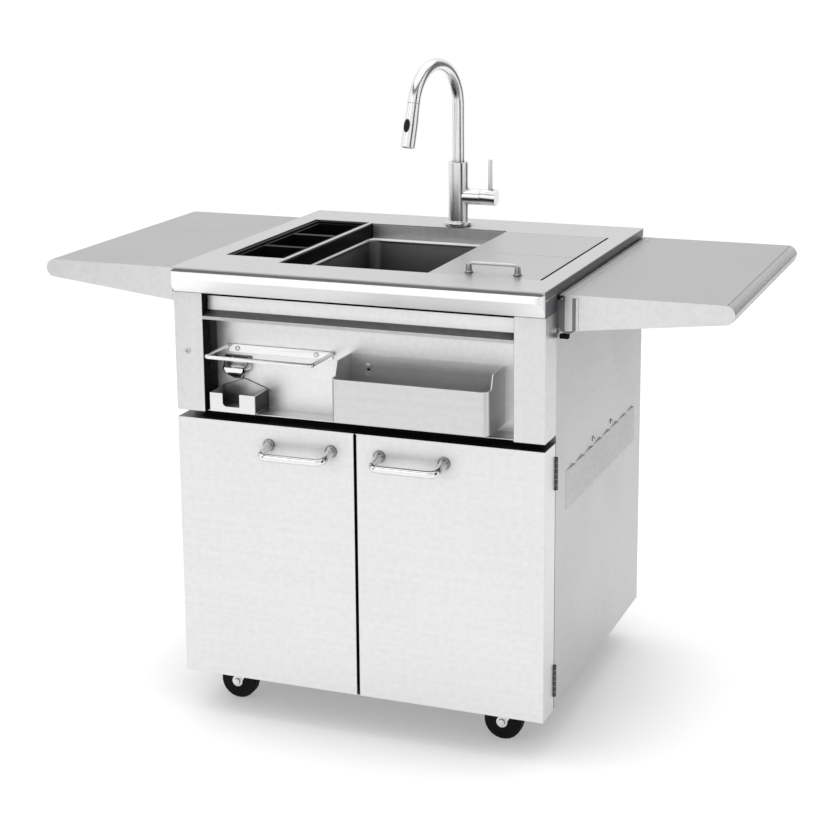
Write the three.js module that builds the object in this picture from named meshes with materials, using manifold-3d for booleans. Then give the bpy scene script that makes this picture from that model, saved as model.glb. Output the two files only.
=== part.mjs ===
// Outdoor bar sink with an ice bin: a stainless cabinet on casters, with a stepped sink, an insulated
// ice bin, condiment pans, a tap with a pull-down spray, a bottle rail and two fold-down side shelves.
// Millimetres, +Z up. While it is drawn, x = 0 is the middle of the cabinet, y = 0 the front face of
// the doors and z = 0 the floor. The finished group is moved so that its box is centred on the origin.

import * as THREE from 'three';
import { mergeVertices } from 'three/addons/utils/BufferGeometryUtils.js';
import Module from 'manifold-3d';

const wasm = await Module();
wasm.setup();

// ---------------------------------------------------------------- driving dimensions
const CABINET_WIDTH = 750;
const CABINET_DEPTH = 697; // front face of the doors to the back of the cabinet
const COUNTER_HEIGHT = 914; // 36 inches, the usual height of a worktop
const SHEET = 2; // folded stainless sheet
const FOLD = 20; // return flanges of the cabinet's panels
const SEAT = 0.3; // between pieces that rest on each other
const RUNNING = 0.5; // round pieces that turn or slide

// casters
const WHEEL_RADIUS = 38;
const WHEEL_WIDTH = 26;
const WHEEL_FACETS = 24;
const WHEEL_DISH = 3;
const AXLE_RADIUS = 4;
const CASTER_HEIGHT = 98; // floor to the underside of the cabinet's floor
const CASTER_TRAIL = 18; // swivel axis to axle
const CASTER_SIDE_INSET = 90; // swivel axes from the cabinet's sides
const CASTER_FRONT_Y = 97;
const CASTER_BACK_INSET = 32; // swivel axes of the back pair from the back of the cabinet
const CASTER_PLATE = 54;
const CASTER_PLATE_THICK = 3;
const RACE_RADIUS = 16;
const RACE_HEIGHT = 5;
const CROWN_RADIUS = 20;
const CROWN_THICK = 5;
const FORK_LEG_THICK = 2.5;
const FORK_EYE_RADIUS = 9;
const HUB_RADIUS = 11;
const NUT_RADIUS = 6.5;
const NUT_THICK = 5;

// doors
const DOOR_DEPTH = 66; // deep folded pans
const DOOR_SEAM = 3; // doors to the cabinet's front edge, where the hinge leaves lie
const DOOR_BOTTOM = 86; // above the floor
const DOOR_TOP_DROP = 299; // top of the doors below the worktop
const DOOR_REVEAL = 3; // between the two doors
const LINER_FOLD = 12;
const HINGE_LENGTH = 60;
const HINGE_KNUCKLE_RADIUS = 4;
const HINGE_PIN_RADIUS = 2;
const HINGE_LEAF_THICK = 0.8;
const HINGE_LEAF_WIDTH = 16;
const HINGE_MIDDLE = 22; // length of the middle knuckle
const HINGE_INSET = 59; // hinge centres from the top and the bottom of the door
const HINGE_OUTSET = 0.5; // hinge axis outside the cabinet's side

// door handles: cast pulls
const HANDLE_CENTRES = 130;
const HANDLE_PROJECTION = 45;
const HANDLE_DROP = 11; // how far the bar lies below its feet
const HANDLE_BAR_RADIUS = 6.5;
const HANDLE_FOOT_RADIUS = 8.5;
const HANDLE_FOOT_LENGTH = 7;
const HANDLE_BEND = 14;
const HANDLE_FROM_TOP = 40; // feet below the top of the door
const HANDLE_INSET = 48; // meeting edge of the door to the nearer foot

// front above the doors
const POST_WIDTH = 60;
const POST_GAP = 14.5; // top of the doors to the posts
const APRON_DROP = 49; // underside of the apron below the worktop
const APRON_BACK = 18;
const NOSE_RADIUS = 9;
const NOSE_REACH = 25; // in front of the doors
const NOSE_GAP = 0.4; // nose to the deck's lip
const NOSE_CORNER = 22; // corners of the nose in plan
const RECESS_DEPTH = 55;
const RECESS_FLOOR_RISE = 2.5; // recess floor above the posts' lower ends
const RECESS_CEILING_DROP = 100; // below the worktop
const LIP_FACE = 6;
const LIP_SLOPE = 9;
const LIP_DEPTH = 20;
const FASCIA_TOP_DROP = 9;
const FASCIA_FLOOR_FRONT = 8;
const FASCIA_CLEARANCE = 1.5; // each end to the posts
const FRAME_RAIL = 46; // cross rail of the face frame between its two windows
const FRAME_STILE = 36;
const FRAME_SILL = 14;
const FRAME_HEAD = 28;

// worktop
const DECK_EDGE = 18; // turned-down edge
const DECK_FRONT = 8; // front edge of the deck in front of the doors' face
const DECK_LIP = 6; // front edge, down to the nose
const DECK_CORNER = 6;
const WEB = 8; // strip of deck between the condiment pans and the sink
const TRAY_SIDE_INSET = 44; // opening of the tray from the cabinet's side
const TRAY_WIDTH = 127;
const TRAY_FRONT = 140;
const TRAY_BACK_INSET = 117; // from the back of the cabinet, as the next two
const OPENING_FRONT = 96; // front of the sink and of the ice bin
const SINK_BACK_INSET = 125;
const BIN_BACK_INSET = 137;
const BIN_SIDE_INSET = 37;
const BIN_WIDTH = 220;
const MULLION = 5; // strip of deck between the sink and the ice bin

// sink
const SINK_STEP = 32; // deck to the ledge round the bowl
const SINK_DEPTH = 212; // worktop to the bowl's floor
const SINK_LEDGE_SIDE = 10;
const SINK_LEDGE_BACK = 27;
const BOWL_CORNER = 24;
const HANG_FLANGE = 6; // flange under the deck
const DRAIN_HOLE_RADIUS = 26;
const DRAIN_FLANGE_RADIUS = 38;
const DRAIN_WALL = 2;
const DRAIN_BODY = 52; // depth of the drain body under the bowl
const DRAIN_NUT_RADIUS = 34;
const DRAIN_NUT_THICK = 11;
const STRAINER_RADIUS = 20;
const STRAINER_DEPTH = 20;
const WASTE_RADIUS = 16;
const TRAP_RADIUS = 34;
const TRAP_DROP = 92; // bowl's floor to the trap
const OUTLET_DROP = 50; // top of the trap to the axis of the outlet

// ice bin
const LID_THICK = 8.7;
const LID_SLOT = 5; // slot along the right edge of the lids
const LID_SEAM = 1.5;
const LID_FRONT_LENGTH = 232;
const BIN_LEDGE_LEFT = 12;
const BIN_LEDGE_RIGHT = 20;
const BIN_LEDGE_ENDS = 10;
const BIN_DEPTH = 214;
const JACKET_WALL = 10;
const JACKET_FLOOR = 25;
const BIN_DRAIN_RADIUS = 8;
const BIN_DRAIN_LENGTH = 60;
const LID_HANDLE_X = 233; // middle of the lid's handle
const LID_HANDLE_Y = 125;
const LID_HANDLE_CENTRES = 96;
const LID_HANDLE_HEIGHT = 22;
const LID_HANDLE_RADIUS = 3.5;
const LID_POST_RADIUS = 5;

// condiment pans
const PAN_NAMES = ['condiment_pan_front', 'condiment_pan_middle', 'condiment_pan_rear'];
const PAN_DEPTH = 78;
const PAN_WALL = 2;
const PAN_RIM = 4;
const PAN_PLAY = 1;
const HOUSING_MARGIN = 8; // rim of the housing round the pans
const HOUSING_DEPTH = 94;
const GUARD_THICK = 2; // black guard on the sink's left wall

// towel bar, bottle opener, cap catcher, bottle rail
const RAIL_PROJECTION = 100; // bottle rail and towel bar, from the recessed face
const RAIL_SIDE_INSET = 95; // from the cabinet's right side
const RAIL_GAP = 32; // towel bar to the rail
const RAIL_RISE = 15; // above the floor of the recess, as the towel bar, the catcher and the opener
const RAIL_FRONT_HEIGHT = 83;
const RAIL_BACK_HEIGHT = 110;
const RAIL_STEP_FRONT = 23; // where the side walls start to rise, from the front
const RAIL_STEP_BACK = 34;
const RAIL_CORNER = 16;
const KEYHOLE_INSET_LEFT = 38;
const KEYHOLE_INSET_RIGHT = 18;
const KEYHOLE_HEIGHT = 89; // above the rail's underside
const KEYHOLE_LIFT = 13;
const STUD_RADIUS = 3;
const STUD_HEAD_RADIUS = 5.5;
const STUD_HEAD_THICK = 3;
const TOWEL_SIDE_INSET = 84; // from the cabinet's left side, as the catcher and the opener
const TOWEL_LENGTH = 229;
const TOWEL_RISE = 120;
const TOWEL_RADIUS = 4;
const TOWEL_STRIP_DROP = 12; // strip below the bar
const TOWEL_SCREW_INSETS = [20, 34];
const TOWEL_SCREW_DROP = 4;
const CATCHER_SIDE_INSET = 74;
const CATCHER_WIDTH = 96;
const CATCHER_DEPTH = 60;
const CATCHER_RISE = 2;
const CATCHER_HEIGHT = 37;
const CATCHER_GABLE_HEIGHT = 54;
const NOTCH_LEFT = 27; // notch in the front wall, from the catcher's left side
const NOTCH_WIDTH = 36;
const NOTCH_DEPTH = 26;
const SCREW_RADIUS = 4;
const SCREW_HEAD = 2;
const OPENER_SIDE_INSET = 109;
const OPENER_RISE = 60;
const OPENER_HEIGHT = 41;
const OPENER_TOP_WIDTH = 58;
const OPENER_BOTTOM_WIDTH = 30;
const OPENER_DEPTH = 24;

// tap
const TAP_X = -8;
const TAP_BACK_INSET = 92; // from the back of the cabinet
const TAP_FLANGE_RADIUS = 27.5;
const TAP_FLANGE_HEIGHT = 8;
const TAP_BODY_RADIUS = 21.5;
const TAP_BODY_HEIGHT = 138;
const TAP_SHANK_RADIUS = 16;
const TAP_SHANK_LENGTH = 60;
const TAP_NUT_RADIUS = 24;
const TAP_NUT_THICK = 12;
const NECK_RADIUS = 13.2;
const NECK_STRAIGHT = 121; // top of the body to the start of the bend
const NECK_BEND_RADIUS = 92;
const NECK_LEAN = 16; // degrees that the spray leans outwards
const SPOUT_TURN = -10; // degrees, as the spout stands in the rest position
const NECK_TAIL = 6;
const HOSE_RADIUS = 6;
const HOSE_IN_NECK = 18;
const HOSE_IN_HEAD = 10;
const HEAD_LENGTH = 91;
const HEAD_RADIUS = 15;
const BUTTON_FROM_END = 43;
const BUTTON_LENGTH = 28;
const BUTTON_WIDTH = 13;
const BUTTON_PROUD = 1.6;
const BUTTON_DEEP = 4; // how far the button reaches into the spray head
const BUTTON_TRAVEL = 1.2;
const BARREL_Z = 64; // axis of the side barrel above the deck
const BARREL_RADIUS = 17.3;
const BARREL_LENGTH = 52;
const CAP_LENGTH = 34;
const CAP_WALL = 3;
const LEVER_OUT = 72; // lever from the tap's axis
const LEVER_RADIUS = 4.3;
const LEVER_LENGTH = 83;
const LEVER_BALL = 7;
const LEVER_TILT = 18; // degrees from closed to fully open

// water
const INLET_XS = { hot: 30, cold: 110 };
const INLET_Z = 420;
const INLET_RADIUS = 13;
const INLET_BORE = 9;
const INLET_LENGTH = 18; // inside the back panel
const INLET_REACH = 20; // behind the cabinet
const INLET_FLANGE = 5;
const HOSE_LINE_RADIUS = 6;

// side shelves
const SHELF_DROP = 18; // below the worktop
const SHELF_REACH = 326; // from the cabinet's side to the round edge
const SHELF_EDGE_RADIUS = 18;
const SHELF_FRONT = 70;
const SHELF_BACK_INSET = 7;
const SHELF_GAP = 4; // cabinet's side to the shelf's top
const SKIRT_START = 14; // from the cabinet's side
const SKIRT_DEPTH = 69; // at the inner end
const PIVOT_OUT = 19; // pivot from the cabinet's side
const PIVOT_DROP = 56; // below the shelf's top
const PIVOT_RADIUS = 4;
const EAR_THICK = 3;
const EAR_RADIUS = 17.5;
const EAR_DROP = 11;
const LUG_RADIUS = 10;
const LUG_THICK = 3;
const PIN_END = 3; // pins beyond the lugs

// side panels
const LOUVRE_COUNT = 8;
const LOUVRE_FIRST = 162; // first louvre's middle, from the front of the doors
const LOUVRE_PITCH = 63;
const LOUVRE_WIDTH = 54;
const LOUVRE_OUT = 4;
const LOUVRE_BOTTOM = 464;
const LOUVRE_TOP = 540;

// ---------------------------------------------------------------- derived places
const HALF = CABINET_WIDTH / 2;
const DOOR_TOP = COUNTER_HEIGHT - DOOR_TOP_DROP;
const HANDLE_Z = DOOR_TOP - HANDLE_FROM_TOP;
const APRON_BOTTOM = COUNTER_HEIGHT - APRON_DROP;
const POST_BOTTOM = DOOR_TOP + POST_GAP;
const POST_TOP = APRON_BOTTOM - SEAT;
const NOSE_TOP = COUNTER_HEIGHT - DECK_LIP - NOSE_GAP;
const RECESS_FLOOR = POST_BOTTOM + RECESS_FLOOR_RISE;
const RECESS_CEILING = COUNTER_HEIGHT - RECESS_CEILING_DROP;
const LIP_BOTTOM = RECESS_CEILING + LIP_FACE;
const LIP_TOP = LIP_BOTTOM + LIP_SLOPE;
const FASCIA_TOP = COUNTER_HEIGHT - FASCIA_TOP_DROP;
const CASTER_X = HALF - CASTER_SIDE_INSET;
const TRAY_LEFT = TRAY_SIDE_INSET - HALF;
const TRAY_RIGHT = TRAY_LEFT + TRAY_WIDTH;
const TRAY_BACK = CABINET_DEPTH - TRAY_BACK_INSET;
const BIN_RIGHT = HALF - BIN_SIDE_INSET;
const BIN_LEFT = BIN_RIGHT - BIN_WIDTH;
const BIN_BACK = CABINET_DEPTH - BIN_BACK_INSET;
const SINK_RIGHT = BIN_LEFT - MULLION;
const SINK_BACK = CABINET_DEPTH - SINK_BACK_INSET;
const SINK_FLOOR = COUNTER_HEIGHT - SINK_DEPTH;
const BIN_FLOOR = COUNTER_HEIGHT - BIN_DEPTH;
const HOUSING_FLOOR = COUNTER_HEIGHT - HOUSING_DEPTH;
const TRAP_TOP = SINK_FLOOR - TRAP_DROP;
const OUTLET_Z = TRAP_TOP - OUTLET_DROP;
const RAIL_RIGHT = HALF - RAIL_SIDE_INSET;
const RAIL_BOTTOM = RECESS_FLOOR + RAIL_RISE;
const RAIL_FRONT_TOP = RAIL_BOTTOM + RAIL_FRONT_HEIGHT;
const RAIL_BACK_TOP = RAIL_BOTTOM + RAIL_BACK_HEIGHT;
const KEYHOLE_Z = RAIL_BOTTOM + KEYHOLE_HEIGHT;
const TOWEL_LEFT = TOWEL_SIDE_INSET - HALF;
const TOWEL_RIGHT = TOWEL_LEFT + TOWEL_LENGTH;
const RAIL_LEFT = TOWEL_RIGHT + RAIL_GAP;
const TOWEL_Z = RECESS_FLOOR + TOWEL_RISE;
const CATCHER_LEFT = CATCHER_SIDE_INSET - HALF;
const CATCHER_RIGHT = CATCHER_LEFT + CATCHER_WIDTH;
const CATCHER_BOTTOM = RECESS_FLOOR + CATCHER_RISE;
const CATCHER_TOP = CATCHER_BOTTOM + CATCHER_HEIGHT;
const CATCHER_GABLE = CATCHER_BOTTOM + CATCHER_GABLE_HEIGHT;
const OPENER_X = OPENER_SIDE_INSET - HALF;
const OPENER_BOTTOM = RECESS_FLOOR + OPENER_RISE;
const OPENER_TOP = OPENER_BOTTOM + OPENER_HEIGHT;
const TAP_Y = CABINET_DEPTH - TAP_BACK_INSET;
const SHELF_TOP = COUNTER_HEIGHT - SHELF_DROP;
const SHELF_BACK = CABINET_DEPTH - SHELF_BACK_INSET;
const SKIRT_BOTTOM = SHELF_TOP - SKIRT_DEPTH;
const PIVOT_Z = SHELF_TOP - PIVOT_DROP;
const EAR_TOP = SHELF_TOP - EAR_DROP;
const BODY_FRONT = DOOR_DEPTH + DOOR_SEAM;
const CARCASS_TOP = COUNTER_HEIGHT - DECK_EDGE - SEAT;
const UNDER_DECK = COUNTER_HEIGHT - SHEET - SEAT;
const INNER_HALF = HALF - FOLD - SEAT;
const LINER_EDGE = HALF - SHEET - SEAT;
const POST_INNER = HALF - POST_WIDTH;
const RECESS_FACE = RECESS_DEPTH - SEAT;
const RAIL_FRONT_Y = RECESS_DEPTH - RAIL_PROJECTION;
const KEYHOLE_XS = [RAIL_LEFT + KEYHOLE_INSET_LEFT, RAIL_RIGHT - KEYHOLE_INSET_RIGHT];
const SINK_OPENING = [TRAY_RIGHT + WEB, SINK_RIGHT, OPENING_FRONT, SINK_BACK];
const BIN_OPENING = [BIN_LEFT, BIN_RIGHT, OPENING_FRONT, BIN_BACK];
const SINK_LEDGE = COUNTER_HEIGHT - SINK_STEP;
const LID_BOTTOM = COUNTER_HEIGHT - LID_THICK;
const BIN_LEDGE = LID_BOTTOM - SEAT;
const BOWL = [
  SINK_OPENING[0] + SINK_LEDGE_SIDE, SINK_OPENING[1] - SINK_LEDGE_SIDE,
  OPENING_FRONT + SINK_LEDGE_SIDE, SINK_BACK - SINK_LEDGE_BACK,
];
const BIN = [
  BIN_LEFT + BIN_LEDGE_LEFT, BIN_RIGHT - BIN_LEDGE_RIGHT,
  OPENING_FRONT + BIN_LEDGE_ENDS, BIN_BACK - BIN_LEDGE_ENDS,
];
const DRAIN_X = (BOWL[0] + BOWL[1]) / 2;
const DRAIN_Y = (BOWL[2] + BOWL[3]) / 2;
const BIN_DRAIN_X = (BIN[0] + BIN[1]) / 2;
const BIN_DRAIN_Y = (BIN[2] + BIN[3]) / 2;
const HINGE_X = HALF + HINGE_OUTSET;
const HINGE_Y = DOOR_DEPTH + DOOR_SEAM / 2;
const HINGE_ZS = [DOOR_BOTTOM + HINGE_INSET, DOOR_TOP - HINGE_INSET];
const PIVOT_X = HALF + PIVOT_OUT;
const EAR_YS = [SHELF_FRONT + SHEET + RUNNING, SHELF_BACK - SHEET - RUNNING - EAR_THICK];
const LUG_YS = [EAR_YS[0] + EAR_THICK + RUNNING, EAR_YS[1] - RUNNING - LUG_THICK];
const LID_FRONT_START = OPENING_FRONT + SEAT;
const LID_FRONT_END = LID_FRONT_START + LID_FRONT_LENGTH;
const BACK_OF_BODY = CABINET_DEPTH + INLET_REACH;

// ---------------------------------------------------------------- finishes
function finish(colour, roughness, metalness) {
  return new THREE.MeshStandardMaterial({ color: colour, roughness, metalness });
}

const STEEL = finish(0xd6d6d8, 0.38, 1);
const DARK_STEEL = finish(0x9a9a9d, 0.45, 1);
const CHROME = finish(0xe2e2e4, 0.15, 1);
const BLACK_PLASTIC = finish(0x141416, 0.5, 0);
const FOAM = finish(0x3a3a3d, 0.9, 0);
const RUBBER = finish(0x111112, 0.75, 0);
const HOSE = finish(0x8e9196, 0.5, 0.6);

// ---------------------------------------------------------------- solids
/** A closed solid from a three.js geometry: merged corners, no empty triangles, faces outwards. */
function solid(geometry) {
  const bare = geometry.clone();
  bare.deleteAttribute('normal');
  bare.deleteAttribute('uv');
  const merged = mergeVertices(bare, 1e-3);
  const points = merged.attributes.position.array;
  const all = merged.index.array;
  const kept = [];
  for (let i = 0; i < all.length; i += 3) {
    const [a, b, c] = [all[i], all[i + 1], all[i + 2]];
    if (a !== b && b !== c && c !== a) kept.push(a, b, c);
  }
  if (signedVolume(points, kept) < 0) {
    for (let i = 0; i < kept.length; i += 3) [kept[i], kept[i + 1]] = [kept[i + 1], kept[i]];
  }
  const mesh = new wasm.Mesh({
    numProp: 3,
    vertProperties: new Float32Array(points),
    triVerts: new Uint32Array(kept),
  });
  return new wasm.Manifold(mesh);
}

/** Six times the volume inside the triangles, positive where they face outwards. */
function signedVolume(points, triangles) {
  const corner = (i) => new THREE.Vector3().fromArray(points, 3 * i);
  let sum = 0;
  for (let i = 0; i < triangles.length; i += 3) {
    const [a, b, c] = [corner(triangles[i]), corner(triangles[i + 1]), corner(triangles[i + 2])];
    sum += a.dot(b.cross(c));
  }
  return sum;
}

function join(first, ...others) {
  return others.reduce((sum, other) => sum.add(other), first);
}

function cut(body, ...tools) {
  return tools.reduce((rest, tool) => rest.subtract(tool), body);
}

/** The points and triangles of a solid as a three.js geometry. */
function geometryOf(body) {
  const mesh = body.getMesh();
  const geometry = new THREE.BufferGeometry();
  geometry.setAttribute('position', new THREE.BufferAttribute(new Float32Array(mesh.vertProperties), 3));
  geometry.setIndex(new THREE.BufferAttribute(new Uint32Array(mesh.triVerts), 1));
  return geometry;
}

/** The other hand of a solid, across x = 0. */
function mirrored(body) {
  return solid(geometryOf(body).scale(-1, 1, 1));
}

/** A named mesh from a solid. */
function piece(name, body, material) {
  const geometry = geometryOf(body);
  geometry.computeVertexNormals();
  const named = new THREE.Mesh(geometry, material);
  named.name = name;
  return named;
}

function box(x0, x1, y0, y1, z0, z1) {
  const geometry = new THREE.BoxGeometry(x1 - x0, y1 - y0, z1 - z0);
  return solid(geometry.translate((x0 + x1) / 2, (y0 + y1) / 2, (z0 + z1) / 2));
}

/** An upright cylinder about (x, y). */
function rod(radius, x, y, z0, z1, facets = 24) {
  const geometry = new THREE.CylinderGeometry(radius, radius, z1 - z0, facets);
  return solid(geometry.rotateX(Math.PI / 2).translate(x, y, (z0 + z1) / 2));
}

/** A cylinder along X about (y, z). */
function rodX(radius, x0, x1, y, z, facets = 24) {
  const geometry = new THREE.CylinderGeometry(radius, radius, x1 - x0, facets);
  return solid(geometry.rotateZ(Math.PI / 2).translate((x0 + x1) / 2, y, z));
}

/** A cylinder along Y about (x, z). */
function rodY(radius, y0, y1, x, z, facets = 24) {
  const geometry = new THREE.CylinderGeometry(radius, radius, y1 - y0, facets);
  return solid(geometry.translate(x, (y0 + y1) / 2, z));
}

/** A geometry turned about Z, from a closed profile of [radius, height] corners. */
function turnedGeometry(profile, facets) {
  const corners = [...profile, profile[0]].map(([r, z]) => new THREE.Vector2(r, z));
  return new THREE.LatheGeometry(corners, facets).rotateX(Math.PI / 2);
}

function turned(profile, facets = 24) {
  return solid(turnedGeometry(profile, facets));
}

function outline(corners) {
  return new THREE.Shape(corners.map(([u, v]) => new THREE.Vector2(u, v)));
}

function extruded(shape, depth, curveSegments = 6) {
  return new THREE.ExtrudeGeometry(shape, { depth, bevelEnabled: false, curveSegments });
}

/** A shape in the plan (x, y) raised from z0 to z1. */
function raised(shape, z0, z1, curveSegments = 6) {
  return solid(extruded(shape, z1 - z0, curveSegments).translate(0, 0, z0));
}

/** A shape of (y, z) corners carried along X. */
function alongX(shape, x0, x1, curveSegments = 8) {
  const turn = new THREE.Matrix4().set(0, 0, 1, x0, 1, 0, 0, 0, 0, 1, 0, 0, 0, 0, 0, 1);
  return solid(extruded(shape, x1 - x0, curveSegments).applyMatrix4(turn));
}

/** A shape of (x, z) corners carried along Y. */
function alongY(shape, y0, y1, curveSegments = 8) {
  return solid(extruded(shape, y1 - y0, curveSegments).rotateX(Math.PI / 2).translate(0, y1, 0));
}

/** A plan rectangle with its own radius at each corner: front left, front right, back right, back left. */
function roundedPlan(x0, x1, y0, y1, [a, b, c, d]) {
  const shape = new THREE.Shape();
  shape.moveTo(x0 + a, y0);
  shape.lineTo(x1 - b, y0);
  if (b > 0) shape.absarc(x1 - b, y0 + b, b, -Math.PI / 2, 0, false);
  shape.lineTo(x1, y1 - c);
  if (c > 0) shape.absarc(x1 - c, y1 - c, c, 0, Math.PI / 2, false);
  shape.lineTo(x0 + d, y1);
  if (d > 0) shape.absarc(x0 + d, y1 - d, d, Math.PI / 2, Math.PI, false);
  shape.lineTo(x0, y0 + a);
  if (a > 0) shape.absarc(x0 + a, y0 + a, a, Math.PI, 1.5 * Math.PI, false);
  return shape;
}

/** A round bar along a path of lines and bends, with a ring at each end of a line and more in a bend. */
function bar(path, radius, ringsInBend, sides = 10) {
  const lengths = path.getCurveLengths();
  const stations = [0];
  path.curves.forEach((curve, i) => {
    const from = i > 0 ? lengths[i - 1] : 0;
    const rings = curve instanceof THREE.LineCurve3 ? 1 : ringsInBend;
    for (let k = 1; k <= rings; k += 1) {
      stations.push((from + ((lengths[i] - from) * k) / rings) / lengths[lengths.length - 1]);
    }
  });
  const steps = stations.length - 1;
  const spaced = new THREE.Curve();
  spaced.getPointAt = (u) => path.getPointAt(stations[Math.round(u * steps)]);
  spaced.getTangentAt = (u) => path.getTangentAt(stations[Math.round(u * steps)]);
  return tube(spaced, radius, steps, sides);
}

/** A round tube along a curve, solid inside. */
function tube(curve, radius, steps, sides) {
  const corners = Array.from({ length: sides }, (_, i) => {
    const turn = (2 * Math.PI * i) / sides;
    return [radius * Math.cos(turn), radius * Math.sin(turn)];
  });
  const options = { steps, extrudePath: curve, bevelEnabled: false };
  return solid(new THREE.ExtrudeGeometry(outline(corners), options));
}

/** A sheet folded along a line of (y, z) corners, its thickness on the left of the way it runs. */
function folded(corners, thickness) {
  const points = corners.map(([u, v]) => new THREE.Vector2(u, v));
  const leftOf = (a, b) => {
    const run = b.clone().sub(a).normalize();
    return new THREE.Vector2(-run.y, run.x);
  };
  const inner = points.map((point, i) => {
    const before = i > 0 ? leftOf(points[i - 1], point) : null;
    const after = i < points.length - 1 ? leftOf(point, points[i + 1]) : null;
    const first = before ?? after;
    const second = after ?? before;
    const mitre = first.clone().add(second);
    return point.clone().add(mitre.multiplyScalar((2 * thickness) / mitre.lengthSq()));
  });
  return new THREE.Shape([...points, ...inner.reverse()]);
}

/** A five-sided pan: a box with one open face. */
function pan(x0, x1, y0, y1, z0, z1, open, wall = SHEET) {
  const reach = (side) => (open === side ? -1 : wall);
  return cut(
    box(x0, x1, y0, y1, z0, z1),
    box(
      x0 + reach('left'), x1 - reach('right'),
      y0 + reach('front'), y1 - reach('back'),
      z0 + reach('bottom'), z1 - reach('top'),
    ),
  );
}

// ---------------------------------------------------------------- cabinet
/** Side panel, with its louvres and the cabinet's half of the hinges. */
function sidePanel() {
  const panel = pan(HALF - FOLD, HALF, BODY_FRONT, CABINET_DEPTH, DOOR_BOTTOM, CARCASS_TOP, 'left');
  const louvres = Array.from({ length: LOUVRE_COUNT }, (_, i) => LOUVRE_FIRST + i * LOUVRE_PITCH);
  const hoods = louvres.map((y) => louvre(y, LOUVRE_OUT, LOUVRE_BOTTOM, LOUVRE_TOP));
  const hollows = louvres.map((y) => louvreHollow(y));
  const body = cut(join(panel, ...hoods), ...hollows, ...HINGE_ZS.map(hingeRelief));
  return join(body, ...HINGE_ZS.map(hingeFrameLeaf));
}

/** A pressed louvre: a wedge that rises out of the panel towards its open back edge. */
function louvre(y, out, bottom, top) {
  const [y0, y1] = [y - LOUVRE_WIDTH / 2, y + LOUVRE_WIDTH / 2];
  const plan = outline([[HALF - SHEET, y0], [HALF, y0], [HALF + out, y1], [HALF - SHEET, y1]]);
  return raised(plan, bottom, top);
}

function louvreHollow(y) {
  const [y0, y1] = [y - LOUVRE_WIDTH / 2 + SHEET, y + LOUVRE_WIDTH / 2 + 1];
  const inside = HALF - SHEET - 1;
  const plan = outline([[inside, y0 + LOUVRE_WIDTH / 3], [HALF - SHEET / 2, y0 + LOUVRE_WIDTH / 3],
    [HALF + LOUVRE_OUT - SHEET / 2, y1], [HALF, y1], [inside, y1 - 1 - SHEET / 2]]);
  return raised(plan, LOUVRE_BOTTOM + SHEET / 2, LOUVRE_TOP - SHEET / 2);
}

function floorPanel() {
  return pan(-INNER_HALF, INNER_HALF, BODY_FRONT, CABINET_DEPTH, CASTER_HEIGHT, CASTER_HEIGHT + FOLD, 'top');
}

function backPanel() {
  const bottom = CASTER_HEIGHT + FOLD + SEAT;
  const back = CABINET_DEPTH;
  const panel = pan(-INNER_HALF, INNER_HALF, back - FOLD, back, bottom, UNDER_DECK, 'front');
  const hole = (radius, x, z) => rodY(radius + RUNNING, back - SHEET - 1, back + 1, x, z, 16);
  return cut(
    panel,
    hole(INLET_RADIUS, INLET_XS.hot, INLET_Z),
    hole(INLET_RADIUS, INLET_XS.cold, INLET_Z),
    hole(WASTE_RADIUS, DRAIN_X, OUTLET_Z),
    box(-INNER_HALF - 1, INNER_HALF + 1, back - SHEET - 1, back + 1, CARCASS_TOP, UNDER_DECK + 1),
  );
}

/** The frame that the doors close on, with a window for the doors and one behind the fascia. */
function faceFrame() {
  const bottom = CASTER_HEIGHT + FOLD + SEAT;
  const railTop = POST_BOTTOM + FRAME_RAIL / 2;
  const railBottom = railTop - FRAME_RAIL;
  const window = INNER_HALF - FRAME_STILE;
  const [front, back] = [BODY_FRONT, BODY_FRONT + FOLD];
  return cut(
    box(-INNER_HALF, INNER_HALF, front, back, bottom, UNDER_DECK),
    box(-window, window, front - 1, back + 1, bottom + FRAME_SILL, railBottom),
    box(-window, window, front - 1, back + 1, railTop, UNDER_DECK - FRAME_HEAD),
  );
}

function frontPost() {
  return pan(POST_INNER, HALF, 0, BODY_FRONT - SEAT, POST_BOTTOM, POST_TOP, 'left');
}

/** Apron with a rounded nose, carried across the front, and rounded at its ends in plan. */
function frontApron() {
  const centreY = NOSE_RADIUS - NOSE_REACH;
  const centreZ = NOSE_TOP - NOSE_RADIUS;
  const shape = new THREE.Shape();
  shape.moveTo(APRON_BACK, APRON_BOTTOM);
  shape.lineTo(APRON_BACK, NOSE_TOP);
  shape.lineTo(centreY, NOSE_TOP);
  shape.absarc(centreY, centreZ, NOSE_RADIUS, Math.PI / 2, THREE.MathUtils.degToRad(205), false);
  shape.lineTo(0, APRON_BOTTOM);
  const corners = [NOSE_CORNER, NOSE_CORNER, 0, 0];
  const plan = roundedPlan(-HALF, HALF, -NOSE_REACH, APRON_BACK, corners);
  return alongX(shape, -HALF, HALF).intersect(raised(plan, APRON_BOTTOM - 1, NOSE_TOP + 1));
}

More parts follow.
